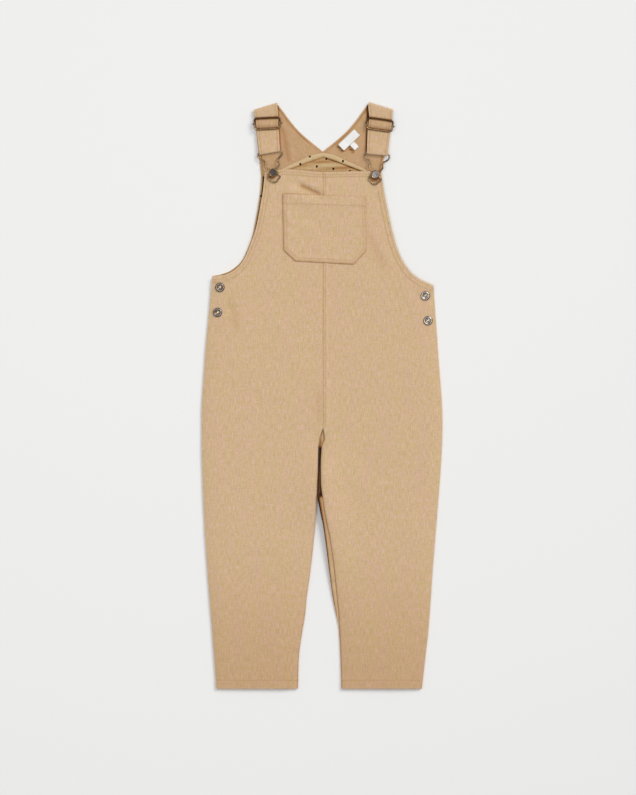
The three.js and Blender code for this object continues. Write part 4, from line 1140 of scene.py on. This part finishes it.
# %% Patina group, brass and gunmetal
patina, given, result = new_group(
    "patina",
    [
        ("Place", "NodeSocketVector", None),
        ("Rubbed", "NodeSocketColor", (0.5, 0.36, 0.17, 1)),
        ("Darkened", "NodeSocketColor", (0.1, 0.065, 0.035, 1)),
        ("Wear", "NodeSocketFloat", 0.5),
        ("Facing up", "NodeSocketFloat", 1.0),
    ],
    [("Color", "NodeSocketColor"), ("Roughness", "NodeSocketFloat")],
)
blotch = stretched_noise(patina, given["Place"], (300, 300, 300), detail=4)
speck = stretched_noise(patina, given["Place"], (2600, 2600, 2600), detail=2)
worn = plus(patina, times(patina, blotch, 0.75), times(patina, speck, 0.25))
worn = minus(patina, plus(patina, worn, given["Wear"]), 0.6)
worn = times(patina, times(patina, worn, 1.6, clamp=True), given["Facing up"])
feed(patina, result["Color"], mix_color(patina, worn, given["Darkened"], given["Rubbed"]))
feed(patina, result["Roughness"], minus(patina, 0.36, times(patina, worn, 0.14)))


def metal(name, rubbed_and_top_lit, darkened, wear):
    """A darkened metal: the patina group feeds its colour and roughness."""
    material, shader = new_material(name, rubbed_and_top_lit, metallic=1.0)
    tree = material.node_tree
    place = tree.nodes.new("ShaderNodeTexCoord").outputs["Object"]
    # Painted highlight: the bright colour shows only on faces that face up.
    facing_up = {"Facing up": mark_of(tree, "rubbed_and_top_lit")}
    metal_look = use_group(tree, patina, Place=place, Rubbed=rubbed_and_top_lit, Darkened=darkened, Wear=wear, **facing_up)
    feed(tree, shader.inputs["Base Color"], metal_look["Color"])
    feed(tree, shader.inputs["Roughness"], metal_look["Roughness"])
    return material


def paint_top_light(piece):
    """Marks how far each place of a fitting faces up, where a painted highlight lets the bright colour show."""
    write_mark(piece, "rubbed_and_top_lit", ease([v.normal.z for v in piece.data.vertices], 0.45, 0.9))
    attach(piece, "root")
    return piece


antique_brass = metal("antique_brass", (0.46, 0.29, 0.15), (0.05, 0.024, 0.012), wear=0.5)
bright_brass = metal("bright_brass", (0.62, 0.44, 0.25), (0.25, 0.16, 0.09), wear=0.7)
# The right cap's gunmetal is a lighter copy of the left one: a painted reflection.
gunmetal = {
    "left": metal("gunmetal", (0.06, 0.05, 0.046), (0.025, 0.02, 0.018), wear=0.5),
    "right": metal("lit_gunmetal", (0.19, 0.175, 0.17), (0.07, 0.062, 0.06), wear=0.6),
}
# The right snaps are given a brighter steel than the left ones.
ring_metal = {
    "left": metal("browned_steel", (0.54, 0.50, 0.46), (0.07, 0.04, 0.025), wear=0.32),
    "right": metal("brighter_steel", (0.62, 0.58, 0.54), (0.09, 0.05, 0.03), wear=0.5),
}
print("metals:", antique_brass.name, bright_brass.name, [m.name for m in gunmetal.values()])

# %% [markdown]
# ## Bent wire
# The hooks and the slider frames are wire bent into a closed loop. A grid is wrapped round the loop, one
# way along the wire and the other way round it, and welding its edges closes both.

# %% Wire maker, hooks and slider frames
HOOK_OUTLINE = [  # across and along, from the middle of the lower lobe to the bar in the strap's end
    (0, -12.2), (2.6, -11.3), (4.2, -9.5), (6.0, -8.1), (7.7, -6.0), (7.0, -3.9), (4.3, -1.6), (3.5, 1.6),
    (4.6, 4.4), (7.5, 6.8), (8.8, 9.6), (8.4, 12.4), (7.8, 14.2), (9.4, 16.7), (12.4, 18.6), (14.7, 21.0),
    (15.2, 24.2), (13.9, 26.6), (11.0, 27.0), (5.5, 27.0),
]
HOOK_ON_BIB_Z = 6.9
UPPER_BAR_WEAR_AND_LIGHT = 0.15  # the slider's upper bar keeps only this share of the painted highlight and the wear


def smooth_loop(points, steps=6):
    """A closed smooth line through points, with steps places between each two."""
    points = np.array(points, float)
    count, places = len(points), []
    for k in range(count):
        p0, p1, p2, p3 = (points[(k + shift) % count] for shift in (-1, 0, 1, 2))
        d1, d2, d3 = (np.linalg.norm(b - a) ** 0.5 for a, b in ((p0, p1), (p1, p2), (p2, p3)))
        m1 = ((p1 - p0) / d1 - (p2 - p0) / (d1 + d2)) * d2 + (p2 - p1)
        m2 = ((p3 - p2) / d3 - (p3 - p1) / (d2 + d3)) * d2 + (p2 - p1)
        for t in np.arange(steps) / steps:
            near, far = t * (1 - t) ** 2, t * t * (1 - t)
            places.append(p1 + (p2 - p1) * t * t * (3 - 2 * t) + m1 * near - m2 * far)
    return np.array(places)


def bent_wire(name, path, diameter, material, sides=12):
    """A round wire along a closed path that lies almost flat."""
    steps = len(path)
    tangent = unit(np.roll(path, -1, axis=0) - np.roll(path, 1, axis=0))
    sideways = unit(np.cross(tangent, (0, 0, 1.0)))
    up = np.cross(sideways, tangent)
    bm = bmesh.new()
    bmesh.ops.create_grid(bm, x_segments=sides, y_segments=steps, size=0.5)
    for vert in bm.verts:
        turn = round((vert.co.x + 0.5) * sides) / sides * 2 * math.pi
        k = round((vert.co.y + 0.5) * steps) % steps
        offset = sideways[k] * math.cos(turn) + up[k] * math.sin(turn)
        vert.co = metres(path[k] + offset * diameter / 2)
    bmesh.ops.remove_doubles(bm, verts=bm.verts, dist=0.001 * MM)
    bmesh.ops.recalc_face_normals(bm, faces=bm.faces)
    return paint_top_light(new_piece(name, bm, material))


def hook_height(along):
    """The wire's height: level on the bib, then down to the strap's end."""
    return HOOK_ON_BIB_Z + (HOOK_BAR_Z - HOOK_ON_BIB_Z) * float(ease(along, 6, HOOK_BAR_ALONG - 6))


def hook(side):
    """The bent hook of one strap."""
    both = HOOK_OUTLINE + [(-across, along) for across, along in HOOK_OUTLINE[:0:-1]]
    path = [(*hook_place(side, across, along), hook_height(along)) for across, along in both]
    return bent_wire(f"hook_{side}_wire", smooth_loop(path), HOOK_WIRE, antique_brass)


def slider_frame(side):
    """The slider's frame: a rectangle of wire with round corners."""
    wide, tall = (SLIDER_WIDTH - WIRE) / 2 - SLIDER_CORNER, (SLIDER_HEIGHT - WIRE) / 2 - SLIDER_CORNER
    path = []
    for k, (sx, sy) in enumerate(((1, 1), (-1, 1), (-1, -1), (1, -1))):
        for a in np.linspace(0, math.pi / 2, 5) + k * math.pi / 2:
            path.append((sx * wide + SLIDER_CORNER * math.cos(a), sy * tall + SLIDER_CORNER * math.sin(a), 0))
    turn = math.radians(STRAPS[side]["slider_turn"])
    spin = np.array(((math.cos(turn), math.sin(turn), 0), (-math.sin(turn), math.cos(turn), 0), (0, 0, 1)))
    middle = np.array((*STRAPS[side]["slider"], SLIDER_Z))
    piece = bent_wire(f"slider_{side}_frame", smooth_loop(path, 4) @ spin + middle, WIRE, antique_brass)
    # The upper bar loses most of its painted highlight and wear, so it stays dark.
    upward = Vector((-math.sin(turn), math.cos(turn), 0))
    for vert, mark in zip(piece.data.vertices, piece.data.attributes["rubbed_and_top_lit"].data):
        if (vert.co - metres(middle)) @ upward > 2 * MM:
            mark.value *= UPPER_BAR_WEAR_AND_LIGHT
    return piece


for side in ("left", "right"):
    cover(hook(side), f"hook_{side}")
    cover(slider_frame(side), f"slider_{side}")

# %% [markdown]
# ## Turned fittings
# The slider bars, shank buttons and ring snaps are round, so each is a half outline spun about its axis.
# Faces near the middle or on the rim can take another metal, picked by their distance from the axis.

# %% Spun profiles
SNAPS = {
    "left_upper": (-126.8, 136.2), "left_lower": (-129.6, 104.9),
    "right_upper": (129.6, 125.6), "right_lower": (132.8, 94.5),
}
BUTTON_PROFILE = [  # radius and height
    (0, 0), (2.2, 0), (2.3, 0.25), (1.9, 0.5), (1.9, 2.85), (4.6, 2.9), (5.1, 3.1), (5.3, 3.6), (5.3, 4.1),
    (5.1, 4.5), (4.8, 4.7), (4.5, 4.6), (4.25, 4.3), (3.9, 4.25), (2.6, 4.45), (1.2, 4.58), (0, 4.6),
]
SNAP_PROFILE = [
    (0, 0), (5.2, 0), (5.7, 0.3), (5.8, 0.8), (5.5, 1.4), (5.0, 1.85), (4.4, 2.0), (3.8, 1.9), (3.3, 1.5),
    (3.0, 0.9), (2.4, 0.65), (1.9, 0.7), (1.7, 1.0), (1.4, 1.35), (0.8, 1.55), (0, 1.6),
]


def bar_profile(half=SLIDER_WIDTH / 2 + 0.6, knob=1.2, rod=0.9):
    """The slider's bar: a rod with a round knob at each end."""
    ball = [(knob * math.sin(a), knob * math.cos(a)) for a in np.linspace(0, 2.35, 8)]
    upper = [(r, half + z) for r, z in ball] + [(rod, half - knob * 0.95)]
    return upper + [(r, -z) for r, z in upper[::-1]]


def turned_part(name, profile, place, *materials, segments=40, pick=lambda radius, height: 0):
    """A half outline of (radius, height) spun about +Z and moved by a matrix."""
    bm = bmesh.new()
    verts = [bm.verts.new(Vector((radius, 0, height)) * MM) for radius, height in profile]
    edges = [bm.edges.new(pair) for pair in zip(verts[:-1], verts[1:])]
    whole_turn = {"cent": (0, 0, 0), "axis": (0, 0, 1), "angle": 2 * math.pi, "use_merge": True}
    bmesh.ops.spin(bm, geom=verts + edges, steps=segments, **whole_turn)
    bmesh.ops.remove_doubles(bm, verts=bm.verts, dist=0.002 * MM)
    bmesh.ops.recalc_face_normals(bm, faces=bm.faces)
    for face in bm.faces:
        middle = face.calc_center_median() / MM
        face.material_index = pick(math.hypot(middle.x, middle.y), middle.z)
    bmesh.ops.transform(bm, matrix=place, verts=bm.verts)
    return paint_top_light(new_piece(name, bm, *materials))


def cap_face(radius, height):
    return 0 if height > 4 and radius < 4.3 else 1


def snap_centre(radius, height):
    return 1 if radius < 1.8 else 0


for side, facts in STRAPS.items():
    lay = Matrix.Rotation(math.radians(facts["slider_turn"]), 4, "Z") @ Matrix.Rotation(math.pi / 2, 4, "Y")
    place = Matrix.Translation(metres((*facts["slider"], SLIDER_BAR_Z))) @ lay
    bar = turned_part(f"slider_bar_{side}_rod", bar_profile(), place, antique_brass, segments=16)
    cover(bar, f"slider_bar_{side}")
    seat = metres((*BUTTONS[side], 0))
    seat.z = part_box(f"button_{side}")[0][2]
    finishes = (gunmetal[side], antique_brass)
    place = Matrix.Translation(seat)
    cap = turned_part(f"button_{side}_cap", BUTTON_PROFILE, place, *finishes, pick=cap_face)
    cover(cap, f"button_{side}")

for corner, (x, y) in SNAPS.items():
    side = corner.split("_")[0]
    slope_x = float(over_front(x + 2, y) - over_front(x - 2, y)) / 4
    slope_y = float(over_front(x, y + 2) - over_front(x, y - 2)) / 4
    normal = Vector((-slope_x, -slope_y, 1)).normalized()
    seat = Vector((x, y, float(over_front(x, y)))) + normal * (CLOTH / 2 + 0.25)
    tilt = Vector((0, 0, 1)).rotation_difference(normal).to_matrix().to_4x4()
    place = Matrix.Translation(metres(seat)) @ tilt
    finishes = (ring_metal[side], bright_brass)
    ring = turned_part(f"snap_{corner}_ring", SNAP_PROFILE, place, *finishes, pick=snap_centre)
    cover(ring, f"snap_{corner}")
print("turned parts:", 4 + len(SNAPS))

# %% [markdown]
# ## Sewing
# Each row of stitches is a line on the table, dropped on to the cloth below it. A stitch is a slim bead of
# thread, laid along the line and half sunk into the cloth, and the next one starts after a short gap.

# %% Thread and the sewing function
thread, thread_shader = new_material("thread", (0.54, 0.37, 0.215), roughness=0.8)
thread_shader.inputs["Sheen Weight"].default_value = 0.2
tree = thread.node_tree
twist = stretched_noise(tree, tree.nodes.new("ShaderNodeTexCoord").outputs["Object"], (2500, 2500, 2500))
feed(tree, thread_shader.inputs["Base Color"], mix_color(tree, twist, (0.46, 0.30, 0.17), (0.62, 0.43, 0.26)))
STITCH_STEP, STITCH_SIZE = 2.6, Vector((1.9, 0.42, 0.34)) * MM


def along_path(path, step):
    """Places every step millimetres along a path, with their directions."""
    path = np.array(path, float)
    length = run_of(path)
    at = np.arange(step / 2, length[-1], step)
    ahead = [np.stack([np.interp(at + d, length, path[:, k]) for k in (0, 1)], -1) for d in (-0.4, 0.4)]
    return (ahead[0] + ahead[1]) / 2, ahead[1] - ahead[0]


def inset(path, distance):
    """A path moved sideways, to its left for distances above 0."""
    path = np.array(path, float)
    heading = unit(np.gradient(path, axis=0))
    return path + np.stack((-heading[:, 1], heading[:, 0]), -1) * distance


def sew(name, piece, paths):
    """Stitches along paths, each dropped from above on to a piece."""
    cloth = BVHTree.FromObject(piece, bpy.context.evaluated_depsgraph_get())
    bm = bmesh.new()
    for path in paths:
        for place, heading in zip(*along_path(path, STITCH_STEP)):
            hit, normal, _, _ = cloth.ray_cast(metres((*place, 50)), Vector((0, 0, -1)))
            if hit is None:
                continue
            ahead = Vector((*heading, 0))
            ahead = (ahead - normal * ahead.dot(normal)).normalized()
            turn = Matrix((ahead, normal.cross(ahead), normal)).transposed().to_4x4()
            seat = Matrix.Translation(hit + normal * 0.06 * MM)
            matrix = seat @ turn @ Matrix.Diagonal((*STITCH_SIZE / 2, 1))
            bmesh.ops.create_uvsphere(bm, u_segments=6, v_segments=5, radius=1, matrix=matrix)
    stitches = new_piece(name, bm, thread)
    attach(stitches, "root")
    return stitches


# %% Rows of stitches on the front
bpy.context.view_layer.update()
for side, piece in fronts.items():
    edge = armhole_path[side][armhole_path[side][:, 1] < 279]
    xs = np.linspace(-67, SEAM_X - 1, 40) if side == "left" else np.linspace(SEAM_X + 1, 71, 40)
    top = np.stack((xs, BIB_TOP_Y + bib_top(xs)), -1)
    hem_low, hem_high = sorted((float(side_seam[side](HEM_Y)), float(inseam[f"front_{side}"](HEM_Y))))
    hem = [(hem_low + 1, HEM_Y + HEM_DEPTH), (hem_high - 1, HEM_Y + HEM_DEPTH)]
    rows = [inset(edge, SIGN[side] * 3), inset(edge, SIGN[side] * 7), inset(top, -3.6), inset(top, -6.6), hem]
    if side == "right":
        for upper, lower in ((279, 254), (164, CROTCH_Y + 2)):
            rows.append([(SEAM_X + 2.6, upper), (SEAM_X + 2.6, lower)])
    sew(f"front_{side}_stitches", piece, rows)

# %% Rows of stitches on the pocket, straps and facings
outline = pocket_outline()
rows = [np.vstack([inset(outline[k : k + 2], d) for k in range(len(outline) - 1)]) for d in POCKET_STITCHES]
left, right, tilt = pocket_edge(POCKET["y"][2])
mouth_y = POCKET["y"][2] - POCKET_HEM + 1
rows.append([(left + 1, mouth_y - tilt / 2), (right - 1, mouth_y + tilt / 2)])
pocket_sewn = sew("pocket_stitches", patch, rows)
for side, piece in straps.items():
    fold_outer, fold_inner = np.array(STRAPS[side]["fold_outer"]), np.array(STRAPS[side]["fold_inner"])
    end_outer, end_inner = strap_ends(side, 26)
    slider_y, turn = STRAPS[side]["slider"][1], math.radians(STRAPS[side]["slider_turn"])
    inward = unit(fold_inner - fold_outer)
    lines = []
    for start, end, way in ((fold_outer, end_outer, inward), (fold_inner, end_inner, -inward)):
        whole = np.linspace(start + way * 3.0 - np.array((0, 3.0)), end + way * 2.6, 60)
        off = np.abs((whole[:, 1] - slider_y) * math.cos(turn))
        lines += [whole[: np.argmax(off < 9)], whole[len(whole) - np.argmax(off[::-1] < 9) :]]
    ys = np.linspace(311, 352, 30)
    lines.append(inset(np.stack((NECK_MIDDLE_X + SIGN[side] * neck(ys), ys), -1), SIGN[side] * 3.0))
    sew(f"strap_{side}_stitches", piece, lines)

# %% [markdown]
# ## Bringing the scene up to date
# Each cloth piece is a sheet that was cut flat and then laid down. The last step brings the scene up to date.

bpy.context.view_layer.update()
